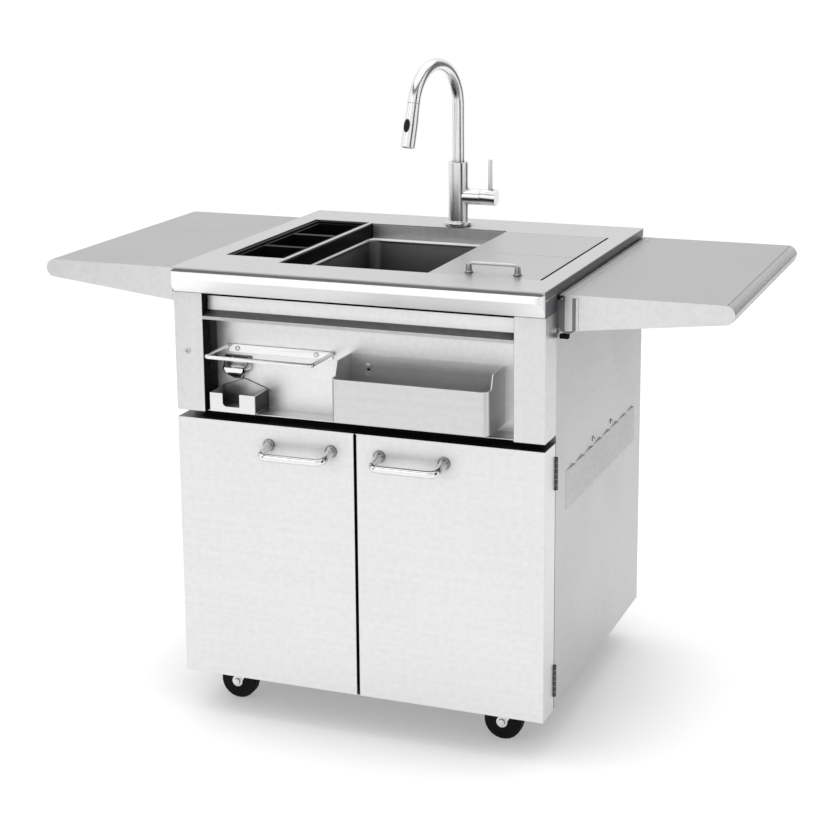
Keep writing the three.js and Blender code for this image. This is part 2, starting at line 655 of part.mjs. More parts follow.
/** Bent sheet between the posts: strip, flared lip, recessed face and floor. */
function frontFascia() {
  const half = POST_INNER - FASCIA_CLEARANCE;
  const path = [
    [LIP_DEPTH, FASCIA_TOP], [LIP_DEPTH, LIP_TOP], [0, LIP_BOTTOM], [0, RECESS_CEILING],
    [RECESS_DEPTH, RECESS_CEILING], [RECESS_DEPTH, RECESS_FLOOR], [FASCIA_FLOOR_FRONT, RECESS_FLOOR],
  ];
  const sheet = alongX(folded(path, SHEET), -half, half);
  const back = RECESS_DEPTH + SHEET / 2;
  const ear = (x) => box(x, x + SHEET, back, BODY_FRONT - SEAT, RECESS_FLOOR, RECESS_CEILING);
  return join(sheet, ear(-half), ear(half - SHEET), ...KEYHOLE_XS.map(railStud));
}

// ---------------------------------------------------------------- worktop, sink and ice bin
/** Worktop: a flat deck with a shallow lip over the nose and deeper turned-down edges elsewhere. */
function worktop() {
  const skirtEnd = COUNTER_HEIGHT - DECK_EDGE;
  const outer = roundedPlan(-HALF, HALF, -DECK_FRONT, CABINET_DEPTH, [DECK_CORNER, DECK_CORNER, 0, 0]);
  const r = DECK_CORNER - SHEET;
  const inner = roundedPlan(SHEET - HALF, HALF - SHEET, SHEET - DECK_FRONT, CABINET_DEPTH - SHEET, [r, r, 0, 0]);
  const overNose = APRON_BACK + SEAT;
  const lipEnd = COUNTER_HEIGHT - DECK_LIP;
  const through = ([x0, x1, y0, y1]) => box(x0, x1, y0, y1, COUNTER_HEIGHT - 2 * SHEET, COUNTER_HEIGHT + 1);
  return cut(
    raised(outer, skirtEnd, COUNTER_HEIGHT, 4),
    raised(inner, skirtEnd - 1, COUNTER_HEIGHT - SHEET, 4),
    box(-HALF - 1, HALF + 1, -DECK_FRONT - 1, overNose, skirtEnd - 1, lipEnd),
    through(SINK_OPENING),
    through([SINK_RIGHT - 1, BIN_RIGHT, OPENING_FRONT, BIN_BACK]),
    through([TRAY_LEFT, TRAY_RIGHT, TRAY_FRONT, TRAY_BACK]),
    rod(TAP_SHANK_RADIUS + RUNNING, TAP_X, TAP_Y, COUNTER_HEIGHT - 2 * SHEET, COUNTER_HEIGHT + 1),
  );
}

/** A sheet bowl under an opening: walls down to a ledge, then a bowl with rounded corners. */
function steppedBowl(opening, bowl, top, ledge, floor) {
  const [x0, x1, y0, y1] = opening;
  const [u0, u1, v0, v1] = bowl;
  const round = Math.min(BOWL_CORNER, (u1 - u0) / 3, (v1 - v0) / 3);
  const inside = roundedPlan(u0, u1, v0, v1, [round, round, round, round]);
  const r = round + SHEET;
  const outside = roundedPlan(u0 - SHEET, u1 + SHEET, v0 - SHEET, v1 + SHEET, [r, r, r, r]);
  const flange = HANG_FLANGE;
  return cut(
    join(
      box(x0 - SHEET, x1 + SHEET, y0 - SHEET, y1 + SHEET, ledge - SHEET, top),
      box(x0 - flange, x1 + flange, y0 - flange, y1 + flange, top - SHEET, top),
      raised(outside, floor - SHEET, ledge, 3),
    ),
    box(x0, x1, y0, y1, ledge, top + 1),
    raised(inside, floor, ledge + 1, 3),
  );
}

function sinkBasin() {
  const basin = steppedBowl(SINK_OPENING, BOWL, UNDER_DECK, SINK_LEDGE, SINK_FLOOR);
  const [y0, y1] = [OPENING_FRONT - 2 * HANG_FLANGE, SINK_BACK + 2 * HANG_FLANGE];
  return cut(
    basin,
    box(SINK_RIGHT - 1, SINK_RIGHT + 4 * HANG_FLANGE, y0, y1, BIN_LEDGE - SEAT, UNDER_DECK + 1),
    rod(DRAIN_HOLE_RADIUS, DRAIN_X, DRAIN_Y, SINK_FLOOR - SHEET - 1, SINK_FLOOR + 1, 16),
  );
}

/** Liner of the ice bin, with its welded drain spigot. Its left wall stops at the ledge. */
function iceBinLiner() {
  const liner = steppedBowl(BIN_OPENING, BIN, UNDER_DECK, BIN_LEDGE, BIN_FLOOR);
  const [y0, y1] = [OPENING_FRONT - 2 * HANG_FLANGE, BIN_BACK + 2 * HANG_FLANGE];
  const spigot = (radius, z0, z1) => rod(radius, BIN_DRAIN_X, BIN_DRAIN_Y, z0, z1, 16);
  return cut(
    join(liner, spigot(BIN_DRAIN_RADIUS, BIN_FLOOR - BIN_DRAIN_LENGTH, BIN_FLOOR - SHEET / 2)),
    box(BIN_LEFT - 4 * HANG_FLANGE, BIN_LEFT, y0, y1, BIN_LEDGE, UNDER_DECK + 1),
    spigot(BIN_DRAIN_RADIUS - DRAIN_WALL, BIN_FLOOR - BIN_DRAIN_LENGTH - 1, BIN_FLOOR + 1),
  );
}

/** Insulation round the ice bin, open at the top. */
function iceBinJacket() {
  const [x0, x1, y0, y1] = BIN;
  const inner = SHEET + SEAT;
  const outer = inner + JACKET_WALL;
  const round = BOWL_CORNER + inner;
  const hollow = roundedPlan(x0 - inner, x1 + inner, y0 - inner, y1 + inner, [round, round, round, round]);
  const floor = BIN_FLOOR - inner;
  return cut(
    box(x0 - outer, x1 + outer, y0 - outer, y1 + outer, floor - JACKET_FLOOR, BIN_LEDGE - inner),
    raised(hollow, floor, BIN_LEDGE + 1, 3),
    rod(BIN_DRAIN_RADIUS + SEAT, BIN_DRAIN_X, BIN_DRAIN_Y, floor - JACKET_FLOOR - 1, floor + 1, 16),
  );
}

/** A lid pressed as a shallow pan, flush with the deck. */
function iceLid(y0, y1) {
  return pan(SINK_RIGHT + SEAT, BIN_RIGHT - LID_SLOT, y0, y1, LID_BOTTOM, COUNTER_HEIGHT, 'bottom');
}

/** Two small pillars with a round bar through their heads. */
function lidHandle() {
  const top = LID_HANDLE_HEIGHT;
  const half = LID_HANDLE_CENTRES / 2;
  const axis = top - LID_HANDLE_RADIUS - 1;
  const pillar = (x) => solid(turnedGeometry([
    [0, 0], [LID_POST_RADIUS, 0], [LID_POST_RADIUS, 2], [LID_POST_RADIUS - 1, 4],
    [LID_POST_RADIUS - 0.4, top - 1], [LID_POST_RADIUS - 2, top], [0, top],
  ], 14).translate(x, 0, 0));
  return join(pillar(-half), pillar(half), rodX(LID_HANDLE_RADIUS, -half, half, 0, axis, 10));
}

/** Flange, body and nut of the sink's drain. */
function sinkDrain() {
  const rim = SINK_FLOOR + SEAT;
  const under = SINK_FLOOR - SHEET - SEAT;
  const outer = DRAIN_HOLE_RADIUS - SEAT;
  const inner = outer - DRAIN_WALL;
  const bottom = SINK_FLOOR - DRAIN_BODY;
  const tail = WASTE_RADIUS - 4;
  return turned([
    [inner, rim], [inner, bottom], [tail, bottom], [tail, TRAP_TOP + 4], [tail + DRAIN_WALL, TRAP_TOP + 4],
    [tail + DRAIN_WALL, bottom - DRAIN_WALL], [outer, bottom - DRAIN_WALL], [outer, under - DRAIN_NUT_THICK],
    [DRAIN_NUT_RADIUS, under - DRAIN_NUT_THICK], [DRAIN_NUT_RADIUS, under], [outer, under], [outer, rim],
    [DRAIN_FLANGE_RADIUS, rim], [DRAIN_FLANGE_RADIUS - 3, rim + SHEET], [inner, rim + SHEET],
  ], 16);
}

/** Basket that lifts out of the drain. */
function sinkStrainer() {
  const seat = SINK_FLOOR + 2 * SEAT + SHEET;
  const floor = seat - STRAINER_DEPTH;
  const rim = DRAIN_HOLE_RADIUS + 2;
  const cup = turned([
    [0, floor], [STRAINER_RADIUS - 3, floor], [STRAINER_RADIUS, seat], [rim, seat], [rim, seat + 1.5],
    [STRAINER_RADIUS - 2, seat + 1.5], [STRAINER_RADIUS - 5, floor + 2], [3, floor + 2], [3, seat + 4],
    [7, seat + 4], [7, seat + 8], [0, seat + 8],
  ], 16);
  const holes = [];
  for (let i = 0; i < 8; i += 1) {
    const turn = (Math.PI * i) / 4;
    const [x, y] = [10 * Math.cos(turn), 10 * Math.sin(turn)];
    holes.push(rod(2, x, y, floor - 1, floor + 3, 6));
  }
  return cut(cup, ...holes);
}

/** Trap and waste pipe from the drain to the back of the cabinet. */
function wastePipe() {
  const path = new THREE.CurvePath();
  const at = (y, z) => new THREE.Vector3(DRAIN_X, y, z);
  const low = OUTLET_Z - 2 * TRAP_RADIUS;
  const [front, back] = [DRAIN_Y, DRAIN_Y + 2 * TRAP_RADIUS];
  const bend = TRAP_RADIUS;
  path.add(new THREE.LineCurve3(at(front, TRAP_TOP), at(front, low + bend)));
  path.add(arc(at(front + bend, low + bend), bend, Math.PI, 2 * Math.PI));
  path.add(new THREE.LineCurve3(at(back, low + bend), at(back, OUTLET_Z - bend)));
  path.add(arc(at(back + bend, OUTLET_Z - bend), bend, Math.PI, Math.PI / 2));
  path.add(new THREE.LineCurve3(at(back + bend, OUTLET_Z), at(BACK_OF_BODY, OUTLET_Z)));
  const pipe = bar(path, WASTE_RADIUS, 6, 10);
  const socket = rod(WASTE_RADIUS + 4, DRAIN_X, front, TRAP_TOP - 22, TRAP_TOP + 4);
  const bore = rod(WASTE_RADIUS - 4 + DRAIN_WALL + SEAT, DRAIN_X, front, TRAP_TOP, TRAP_TOP + 5);
  const outlet = rodY(WASTE_RADIUS - 4, BACK_OF_BODY - 15, BACK_OF_BODY + 1, DRAIN_X, OUTLET_Z, 12);
  return cut(join(pipe, socket), bore, outlet);
}

/** A circular arc in the plane x = constant, from one angle to another. */
function arc(centre, radius, from, to) {
  const curve = new THREE.Curve();
  curve.getPoint = (t, target = new THREE.Vector3()) => {
    const turn = from + (to - from) * t;
    return target.set(centre.x, centre.y + radius * Math.cos(turn), centre.z + radius * Math.sin(turn));
  };
  return curve;
}

// ---------------------------------------------------------------- condiment pans
const PAN_X = [TRAY_LEFT + HOUSING_MARGIN, TRAY_RIGHT - HOUSING_MARGIN - 2];
const PAN_Y0 = TRAY_FRONT + HOUSING_MARGIN;
const PAN_SPACING = (TRAY_BACK - TRAY_FRONT - 2 * HOUSING_MARGIN) / PAN_NAMES.length;
const PAN_SEAT = UNDER_DECK - PAN_RIM - SHEET;

function condimentHousing() {
  const [x0, x1] = PAN_X;
  const right = TRAY_RIGHT - SHEET;
  const outer = box(TRAY_LEFT - 4, right, TRAY_FRONT - 4, TRAY_BACK + 4, HOUSING_FLOOR, UNDER_DECK);
  const wells = [box(x0, x1, PAN_Y0, PAN_Y0 + PAN_NAMES.length * PAN_SPACING, PAN_SEAT, UNDER_DECK + 1)];
  for (let i = 0; i < PAN_NAMES.length; i += 1) {
    const y0 = PAN_Y0 + i * PAN_SPACING + PAN_RIM;
    const y1 = y0 + PAN_SPACING - 2 * PAN_RIM;
    wells.push(box(x0 + PAN_RIM, x1 - PAN_RIM, y0, y1, HOUSING_FLOOR + PAN_WALL, PAN_SEAT + 1));
  }
  return cut(outer, ...wells);
}

/** A lift-out pan with a rim that rests on the housing. */
function condimentPan(index) {
  const [x0, x1] = [PAN_X[0] + SEAT, PAN_X[1] - SEAT];
  const y0 = PAN_Y0 + index * PAN_SPACING + SEAT;
  const y1 = y0 + PAN_SPACING - 2 * SEAT;
  const seat = PAN_SEAT + SEAT;
  const step = PAN_RIM + PAN_PLAY;
  const rim = box(x0, x1, y0, y1, seat, seat + PAN_WALL);
  const cup = box(x0 + step, x1 - step, y0 + step, y1 - step, seat - PAN_DEPTH, seat + 1);
  const inner = step + PAN_WALL;
  const floor = seat - PAN_DEPTH + PAN_WALL;
  return cut(
    join(rim, cup),
    box(x0 + inner, x1 - inner, y0 + inner, y1 - inner, floor, seat + PAN_WALL + 1),
  );
}

/** Black guard on the wall of the sink beside the condiment pans. */
function splashGuard() {
  const x = SINK_OPENING[0] + SEAT;
  return box(x, x + GUARD_THICK, OPENING_FRONT + 2, SINK_BACK - 2, SINK_LEDGE + SEAT, UNDER_DECK);
}

// ---------------------------------------------------------------- things in the recess
/** Towel bar: a bent rod on a strip that is screwed to the recessed face. */
function towelBar() {
  const front = RAIL_FRONT_Y;
  const face = RECESS_FACE - SHEET;
  const [left, right] = [TOWEL_LEFT + TOWEL_RADIUS, TOWEL_RIGHT - TOWEL_RADIUS];
  const [near, far] = TOWEL_SCREW_INSETS;
  const strip = box(left, right, face, RECESS_FACE, TOWEL_Z - TOWEL_STRIP_DROP, TOWEL_Z + TOWEL_RADIUS);
  const path = new THREE.CurvePath();
  const at = (x, y) => new THREE.Vector3(x, y, TOWEL_Z);
  const bend = 2 * TOWEL_RADIUS;
  path.add(new THREE.LineCurve3(at(left, face + SHEET / 2), at(left, front + bend)));
  path.add(new THREE.QuadraticBezierCurve3(at(left, front + bend), at(left, front), at(left + bend, front)));
  path.add(new THREE.LineCurve3(at(left + bend, front), at(right - bend, front)));
  path.add(new THREE.QuadraticBezierCurve3(at(right - bend, front), at(right, front), at(right, front + bend)));
  path.add(new THREE.LineCurve3(at(right, front + bend), at(right, face + SHEET / 2)));
  const head = (x) => rodY(SCREW_RADIUS, face - SCREW_HEAD, face + 1, x, TOWEL_Z - TOWEL_SCREW_DROP, 12);
  return join(strip, bar(path, TOWEL_RADIUS, 4, 10), head(left + near), head(right - far));
}

/** Cast wall opener: a tapered cup with a lip over its open mouth. */
function bottleOpener() {
  const top = OPENER_TOP_WIDTH / 2;
  const low = OPENER_BOTTOM_WIDTH / 2;
  const waist = OPENER_BOTTOM + (OPENER_TOP - OPENER_BOTTOM) * 0.45;
  const front = RECESS_FACE - OPENER_DEPTH;
  const hood = (inset) => outline([
    [OPENER_X - top + inset, OPENER_TOP - inset], [OPENER_X - top + inset, waist],
    [OPENER_X - low + inset / 2, OPENER_BOTTOM + inset / 2], [OPENER_X + low - inset / 2, OPENER_BOTTOM + inset / 2],
    [OPENER_X + top - inset, waist], [OPENER_X + top - inset, OPENER_TOP - inset],
  ]);
  const wall = 4;
  const shell = alongY(hood(0), front, RECESS_FACE);
  const mouth = alongY(hood(wall), front + wall, RECESS_FACE - wall);
  const slot = box(OPENER_X - top + 2 * wall, OPENER_X + top - 2 * wall, front + wall, RECESS_FACE - wall,
    OPENER_TOP - 2 * wall, OPENER_TOP + 1);
  const tooth = box(OPENER_X - low / 2, OPENER_X + low / 2, RECESS_FACE - wall - 8, RECESS_FACE - wall + 1,
    waist - 3, waist + 3);
  return join(cut(shell, mouth, slot), tooth);
}

/** Open box for the caps, with a notch in front and a gabled back. */
function capCatcher() {
  const [x0, x1] = [CATCHER_LEFT, CATCHER_RIGHT];
  const front = RECESS_FACE - CATCHER_DEPTH;
  const middle = (x0 + x1) / 2;
  const gable = outline([
    [x0, CATCHER_BOTTOM], [x1, CATCHER_BOTTOM], [x1, CATCHER_TOP], [middle, CATCHER_GABLE], [x0, CATCHER_TOP],
  ]);
  const notch = roundedNotch(x0 + NOTCH_LEFT, x0 + NOTCH_LEFT + NOTCH_WIDTH);
  return cut(
    join(
      pan(x0, x1, front, RECESS_FACE, CATCHER_BOTTOM, CATCHER_TOP, 'top'),
      alongY(gable, RECESS_FACE - SHEET, RECESS_FACE),
    ),
    alongY(notch, front - 1, front + SHEET + 1),
  );
}

function roundedNotch(x0, x1) {
  const bottom = CATCHER_TOP - NOTCH_DEPTH;
  const round = 8;
  const shape = new THREE.Shape();
  shape.moveTo(x1, CATCHER_TOP + 1);
  shape.lineTo(x0, CATCHER_TOP + 1);
  shape.lineTo(x0, bottom + round);
  shape.absarc(x0 + round, bottom + round, round, Math.PI, 1.5 * Math.PI, false);
  shape.lineTo(x1, bottom);
  return shape;
}

/** Bottle rail: an open trough with stepped ends, hung on two studs by keyholes. */
function bottleRail() {
  const [x0, x1, y0, y1] = [RAIL_LEFT, RAIL_RIGHT, RAIL_FRONT_Y, RECESS_FACE];
  const round = RAIL_CORNER;
  const outer = raised(roundedPlan(x0, x1, y0, y1, [round, round, 0, 0]), RAIL_BOTTOM, RAIL_BACK_TOP);
  const inset = round - SHEET;
  const inside = roundedPlan(x0 + SHEET, x1 - SHEET, y0 + SHEET, y1 - SHEET, [inset, inset, 0, 0]);
  const above = outline([
    [y0 - 1, RAIL_FRONT_TOP], [y0 + RAIL_STEP_FRONT, RAIL_FRONT_TOP],
    [y0 + RAIL_STEP_BACK, RAIL_BACK_TOP], [y0 + RAIL_STEP_BACK, RAIL_BACK_TOP + 1], [y0 - 1, RAIL_BACK_TOP + 1],
  ]);
  const trough = cut(
    outer,
    raised(inside, RAIL_BOTTOM + SHEET, RAIL_BACK_TOP + 1),
    alongX(above, x0 - 1, x1 + 1),
  );
  return cut(trough, ...KEYHOLE_XS.map(keyhole));
}

function keyhole(x) {
  const [y0, y1] = [RECESS_FACE - SHEET - 1, RECESS_FACE + 1];
  const slot = STUD_RADIUS + SEAT;
  const low = KEYHOLE_Z - KEYHOLE_LIFT;
  return join(
    rodY(slot, y0, y1, x, KEYHOLE_Z, 10),
    box(x - slot, x + slot, y0, y1, low, KEYHOLE_Z),
    rodY(STUD_HEAD_RADIUS + RUNNING, y0, y1, x, low, 12),
  );
}

/** Stud pressed into the recessed face, with a head that the bottle rail's keyhole drops over. */
function railStud(x) {
  const head = RECESS_FACE - SHEET - SEAT;
  return join(
    rodY(STUD_RADIUS, head - 1, RECESS_DEPTH + SHEET / 2, x, KEYHOLE_Z, 10),
    rodY(STUD_HEAD_RADIUS, head - STUD_HEAD_THICK, head, x, KEYHOLE_Z, 12),
  );
}

// ---------------------------------------------------------------- doors
const DOOR_X = [DOOR_REVEAL / 2, HALF];

function doorShell() {
  const shell = pan(DOOR_X[0], DOOR_X[1], 0, DOOR_DEPTH, DOOR_BOTTOM, DOOR_TOP, 'back');
  return cut(shell, ...HINGE_ZS.map(hingeRelief));
}

/** Inner skin that closes the back of the door, with the door's half of the hinges. */
function doorLiner() {
  const inset = SHEET + SEAT;
  const [z0, z1] = [DOOR_BOTTOM + inset, DOOR_TOP - inset];
  const skin = pan(DOOR_X[0] + inset, LINER_EDGE, DOOR_DEPTH - LINER_FOLD, DOOR_DEPTH, z0, z1, 'front');
  return join(cut(skin, ...HINGE_ZS.map(hingeRelief)), ...HINGE_ZS.map(hingeDoorLeaf));
}

/** Cast pull: two feet, and a bar that drops below them as it comes forward. */
function doorHandle() {
  const half = HANDLE_CENTRES / 2;
  const reach = -HANDLE_PROJECTION;
  const path = new THREE.CurvePath();
  const bend = HANDLE_BEND;
  const share = (HANDLE_PROJECTION - bend) / HANDLE_PROJECTION;
  const foot = (side) => new THREE.Vector3(side * half, -SEAT, 0);
  const elbow = (side) => new THREE.Vector3(side * half, reach * share, -HANDLE_DROP * share);
  const knee = (side) => new THREE.Vector3(side * (half - bend), reach, -HANDLE_DROP);
  const corner = (side) => new THREE.Vector3(side * half, reach, -HANDLE_DROP);
  path.add(new THREE.LineCurve3(foot(-1), elbow(-1)));
  path.add(new THREE.QuadraticBezierCurve3(elbow(-1), corner(-1), knee(-1)));
  path.add(new THREE.LineCurve3(knee(-1), knee(1)));
  path.add(new THREE.QuadraticBezierCurve3(knee(1), corner(1), elbow(1)));
  path.add(new THREE.LineCurve3(elbow(1), foot(1)));
  const grip = bar(path, HANDLE_BAR_RADIUS, 5, 12);
  const collar = (side) => rodY(HANDLE_FOOT_RADIUS, -SEAT - HANDLE_FOOT_LENGTH, -SEAT, side * half, 0, 16);
  const behind = box(-CABINET_WIDTH, CABINET_WIDTH, -SEAT, DOOR_DEPTH, -DOOR_TOP, DOOR_TOP);
  return cut(join(grip, collar(-1), collar(1)), behind);
}

function hingeRod(radius, z0, z1, facets = 12) {
  return rod(radius, HINGE_X, HINGE_Y, z0, z1, facets);
}

/** Room for the knuckles of one hinge, cut from whatever lies round them. */
function hingeRelief(z) {
  const half = HINGE_LENGTH / 2 + SEAT;
  return hingeRod(HINGE_KNUCKLE_RADIUS + RUNNING, z - half, z + half);
}

/** The cabinet's leaf, its middle knuckle and the pin. */
function hingeFrameLeaf(z) {
  const half = HINGE_LENGTH / 2;
  const middle = HINGE_MIDDLE / 2;
  const clear = HINGE_KNUCKLE_RADIUS + RUNNING;
  const x = HINGE_X - HINGE_LEAF_WIDTH;
  const leaf = box(x, HINGE_X, BODY_FRONT - HINGE_LEAF_THICK, BODY_FRONT + SHEET / 2, z - half, z + half);
  return join(
    cut(leaf, hingeRod(clear, z - half - 1, z - middle), hingeRod(clear, z + middle, z + half + 1)),
    hingeRod(HINGE_KNUCKLE_RADIUS, z - middle, z + middle),
    hingeRod(HINGE_PIN_RADIUS, z - half, z + half, 8),
  );
}

/** The door's leaf, with the two outer knuckles. */
function hingeDoorLeaf(z) {
  const half = HINGE_LENGTH / 2;
  const middle = HINGE_MIDDLE / 2 + SEAT;
  const x = HINGE_X - HINGE_LEAF_WIDTH;
  const y = DOOR_DEPTH + SEAT;
  const leaf = join(
    box(x, HINGE_X, y, y + HINGE_LEAF_THICK, z - half, z + half),
    box(x, LINER_EDGE - RUNNING, DOOR_DEPTH - SHEET / 2, y + HINGE_LEAF_THICK / 2, z - half, z + half),
    hingeRod(HINGE_KNUCKLE_RADIUS, z - half, z - middle),
    hingeRod(HINGE_KNUCKLE_RADIUS, z + middle, z + half),
  );
  return cut(
    leaf,
    hingeRod(HINGE_KNUCKLE_RADIUS + RUNNING, z - middle, z + middle),
    hingeRod(HINGE_PIN_RADIUS + RUNNING, z - half - 1, z + half + 1, 8),
  );
}

// ---------------------------------------------------------------- side shelves (right hand)
const SHELF_OUTER = HALF + SHELF_REACH - SHELF_EDGE_RADIUS; // centre line of the round edge

/** Outer skin of the shelf in section: flat top, half-round outer edge and a skirt that tapers. */
function shelfSkin() {
  const shape = new THREE.Shape();
  const inner = HALF + SKIRT_START;
  const centre = SHELF_TOP - SHELF_EDGE_RADIUS;
  shape.moveTo(inner, SKIRT_BOTTOM);
  shape.lineTo(inner, SHELF_TOP);
  shape.lineTo(SHELF_OUTER, SHELF_TOP);
  shape.absarc(SHELF_OUTER, centre, SHELF_EDGE_RADIUS, Math.PI / 2, -Math.PI / 2, true);
  return shape;
}

/** The hollow under the skin, open below and towards the cabinet. */
function shelfHollow() {
  const shape = new THREE.Shape();
  const inner = HALF + SKIRT_START - 1;
  const low = SKIRT_BOTTOM - SHELF_EDGE_RADIUS;
  const lip = SHELF_OUTER - SHELF_EDGE_RADIUS;
  const radius = SHELF_EDGE_RADIUS - SHEET;
  const centre = SHELF_TOP - SHELF_EDGE_RADIUS;
  shape.moveTo(inner, low);
  shape.lineTo(inner, SHELF_TOP - SHEET);
  shape.lineTo(SHELF_OUTER, SHELF_TOP - SHEET);
  shape.absarc(SHELF_OUTER, centre, radius, Math.PI / 2, -Math.PI / 2, true);
  shape.lineTo(lip, centre - radius);
  shape.lineTo(lip, low);
  return shape;
}

function shelf() {
  const skin = alongY(shelfSkin(), SHELF_FRONT, SHELF_BACK);
  const hollow = alongY(shelfHollow(), SHELF_FRONT + SHEET, SHELF_BACK - SHEET);
  const tongueEnd = HALF + SKIRT_START + 1;
  const top = box(HALF + SHELF_GAP, tongueEnd, SHELF_FRONT, SHELF_BACK, SHELF_TOP - SHEET, SHELF_TOP);
  return join(cut(skin, hollow), top, ...LUG_YS.map(shelfLug));
}

/** Lug under the shelf's top that turns on the pivot. */
function shelfLug(y) {
  const plate = new THREE.Shape();
  plate.moveTo(PIVOT_X - LUG_RADIUS, SHELF_TOP - SHEET / 2);
  plate.lineTo(PIVOT_X - LUG_RADIUS, PIVOT_Z);
  plate.absarc(PIVOT_X, PIVOT_Z, LUG_RADIUS, Math.PI, 2 * Math.PI, false);
  plate.lineTo(PIVOT_X + 3 * LUG_RADIUS, SHELF_TOP - SHEET / 2);
  const hole = rodY(PIVOT_RADIUS + RUNNING, y - 1, y + LUG_THICK + 1, PIVOT_X, PIVOT_Z, 12);
  return cut(alongY(plate, y, y + LUG_THICK, 5), hole);
}

/** Bracket on the cabinet's side: a plate with an ear at each end, and the riveted pivot pins. */
function shelfBracket() {
  const inner = HALF + SEAT;
  const ear = new THREE.Shape();
  ear.moveTo(inner, EAR_TOP);
  ear.lineTo(inner, PIVOT_Z);
  ear.lineTo(PIVOT_X - EAR_RADIUS, PIVOT_Z);
  ear.absarc(PIVOT_X, PIVOT_Z, EAR_RADIUS, Math.PI, 2 * Math.PI, false);
  ear.lineTo(PIVOT_X + EAR_RADIUS, EAR_TOP);
  const [front, back] = EAR_YS;
  const end = back + EAR_THICK;
  const length = EAR_THICK + RUNNING + LUG_THICK + PIN_END;
  return join(
    box(inner, inner + SHEET, front, end, PIVOT_Z - EAR_RADIUS, EAR_TOP),
    alongY(ear, front, front + EAR_THICK, 6),
    alongY(ear, back, end, 6),
    rodY(PIVOT_RADIUS, front, front + length, PIVOT_X, PIVOT_Z, 12),
    rodY(PIVOT_RADIUS, end - length, end, PIVOT_X, PIVOT_Z, 12),
  );
}

// ---------------------------------------------------------------- tap (about its own axis, z = 0 at the deck)
function tapBody() {
  const top = TAP_BODY_HEIGHT;
  const r = TAP_BODY_RADIUS;
  const flange = TAP_FLANGE_RADIUS;
  const column = turned([
    [0, -TAP_SHANK_LENGTH], [TAP_SHANK_RADIUS, -TAP_SHANK_LENGTH], [TAP_SHANK_RADIUS, SEAT], [flange, SEAT],
    [flange, TAP_FLANGE_HEIGHT - 2], [flange - 2, TAP_FLANGE_HEIGHT], [r, TAP_FLANGE_HEIGHT],
    [r, top - 1.5], [r - 1.5, top], [0, top],
  ], 24);
  return join(column, rodX(BARREL_RADIUS, 0, BARREL_LENGTH, 0, BARREL_Z));
}

/** Turning cap at the end of the barrel, with a slot that the lever tilts in. */
function tapCap() {
  const [x0, x1] = [BARREL_LENGTH + RUNNING, BARREL_LENGTH + CAP_LENGTH];
  const slot = LEVER_RADIUS + RUNNING;
  const hollow = BARREL_RADIUS - CAP_WALL;
  return cut(
    rodX(BARREL_RADIUS, x0, x1, 0, BARREL_Z),
    rodX(hollow, x0 - 1, x1 - CAP_WALL, 0, BARREL_Z, 16),
    box(LEVER_OUT - slot, x1 - CAP_WALL, -slot, slot, BARREL_Z, BARREL_Z + BARREL_RADIUS + 1),
  );
}

function tapLever() {
  const top = BARREL_Z + LEVER_LENGTH;
  const ball = solid(new THREE.SphereGeometry(LEVER_BALL, 12, 6).translate(LEVER_OUT, 0, BARREL_Z));
  return join(
    ball,
    rod(LEVER_RADIUS, LEVER_OUT, 0, BARREL_Z, top - 1, 12),
    rod(LEVER_RADIUS - 1, LEVER_OUT, 0, top - 2, top, 12),
  );
}

/** Centre line of the neck: up, over in a bend, and a short tail that leans outwards. */
function neckPath() {
  const start = TAP_BODY_HEIGHT + SEAT;
  const bend = start + NECK_STRAIGHT;
  const lean = THREE.MathUtils.degToRad(NECK_LEAN);
  const path = new THREE.CurvePath();
  const centre = new THREE.Vector3(0, -NECK_BEND_RADIUS, bend);
  const end = neckEnd(0);
  path.add(new THREE.LineCurve3(new THREE.Vector3(0, 0, start), new THREE.Vector3(0, 0, bend)));
  path.add(arc(centre, NECK_BEND_RADIUS, 0, Math.PI - lean));
  path.add(new THREE.LineCurve3(end, neckEnd(NECK_TAIL)));
  return path;
}

/** Point on the line of the spray, `along` past the end of the bend. */
function neckEnd(along) {
  const lean = THREE.MathUtils.degToRad(NECK_LEAN);
  const y = -NECK_BEND_RADIUS * (1 + Math.cos(lean)) - along * Math.sin(lean);
  const z = TAP_BODY_HEIGHT + SEAT + NECK_STRAIGHT + NECK_BEND_RADIUS * Math.sin(lean) - along * Math.cos(lean);
  return new THREE.Vector3(0, y, z);
}

/** Gooseneck, bored at its mouth for the spray's hose. */
function tapNeck() {
  const neck = bar(neckPath(), NECK_RADIUS, 16, 18);
  const mouth = rod(HOSE_RADIUS + SEAT, 0, 0, -HOSE_IN_NECK - 1, 1, 16);
  return cut(neck, placed(mouth, neckEnd(NECK_TAIL)));
}

/** A solid drawn from its top along +Z, set at a point of the spray's line with +Z running down the line. */
function placed(body, point) {
  const leaning = geometryOf(body).rotateX(Math.PI - THREE.MathUtils.degToRad(NECK_LEAN));
  return solid(leaning.translate(point.x, point.y, point.z));
}

/** Spray head, drawn with z = 0 at its top and running to +z, then placed on the line of the spray. */
function sprayHead() {
  const top = NECK_RADIUS;
  const end = HEAD_LENGTH;
  const r = HEAD_RADIUS;
  const socket = HOSE_RADIUS + SEAT;
  const body = turned([
    [socket, SEAT], [top, SEAT], [top + 0.6, 18], [r, end * 0.45], [r, end - 3], [r - 1.5, end],
    [r - 4, end], [r - 4, end - 3], [0, end - 3], [0, HOSE_IN_HEAD + 1], [socket, HOSE_IN_HEAD + 1],
  ], 20);
  return placed(cut(body, buttonSolid(BUTTON_DEEP + BUTTON_TRAVEL + 0.6, 6, 0.4)), neckEnd(NECK_TAIL));
}

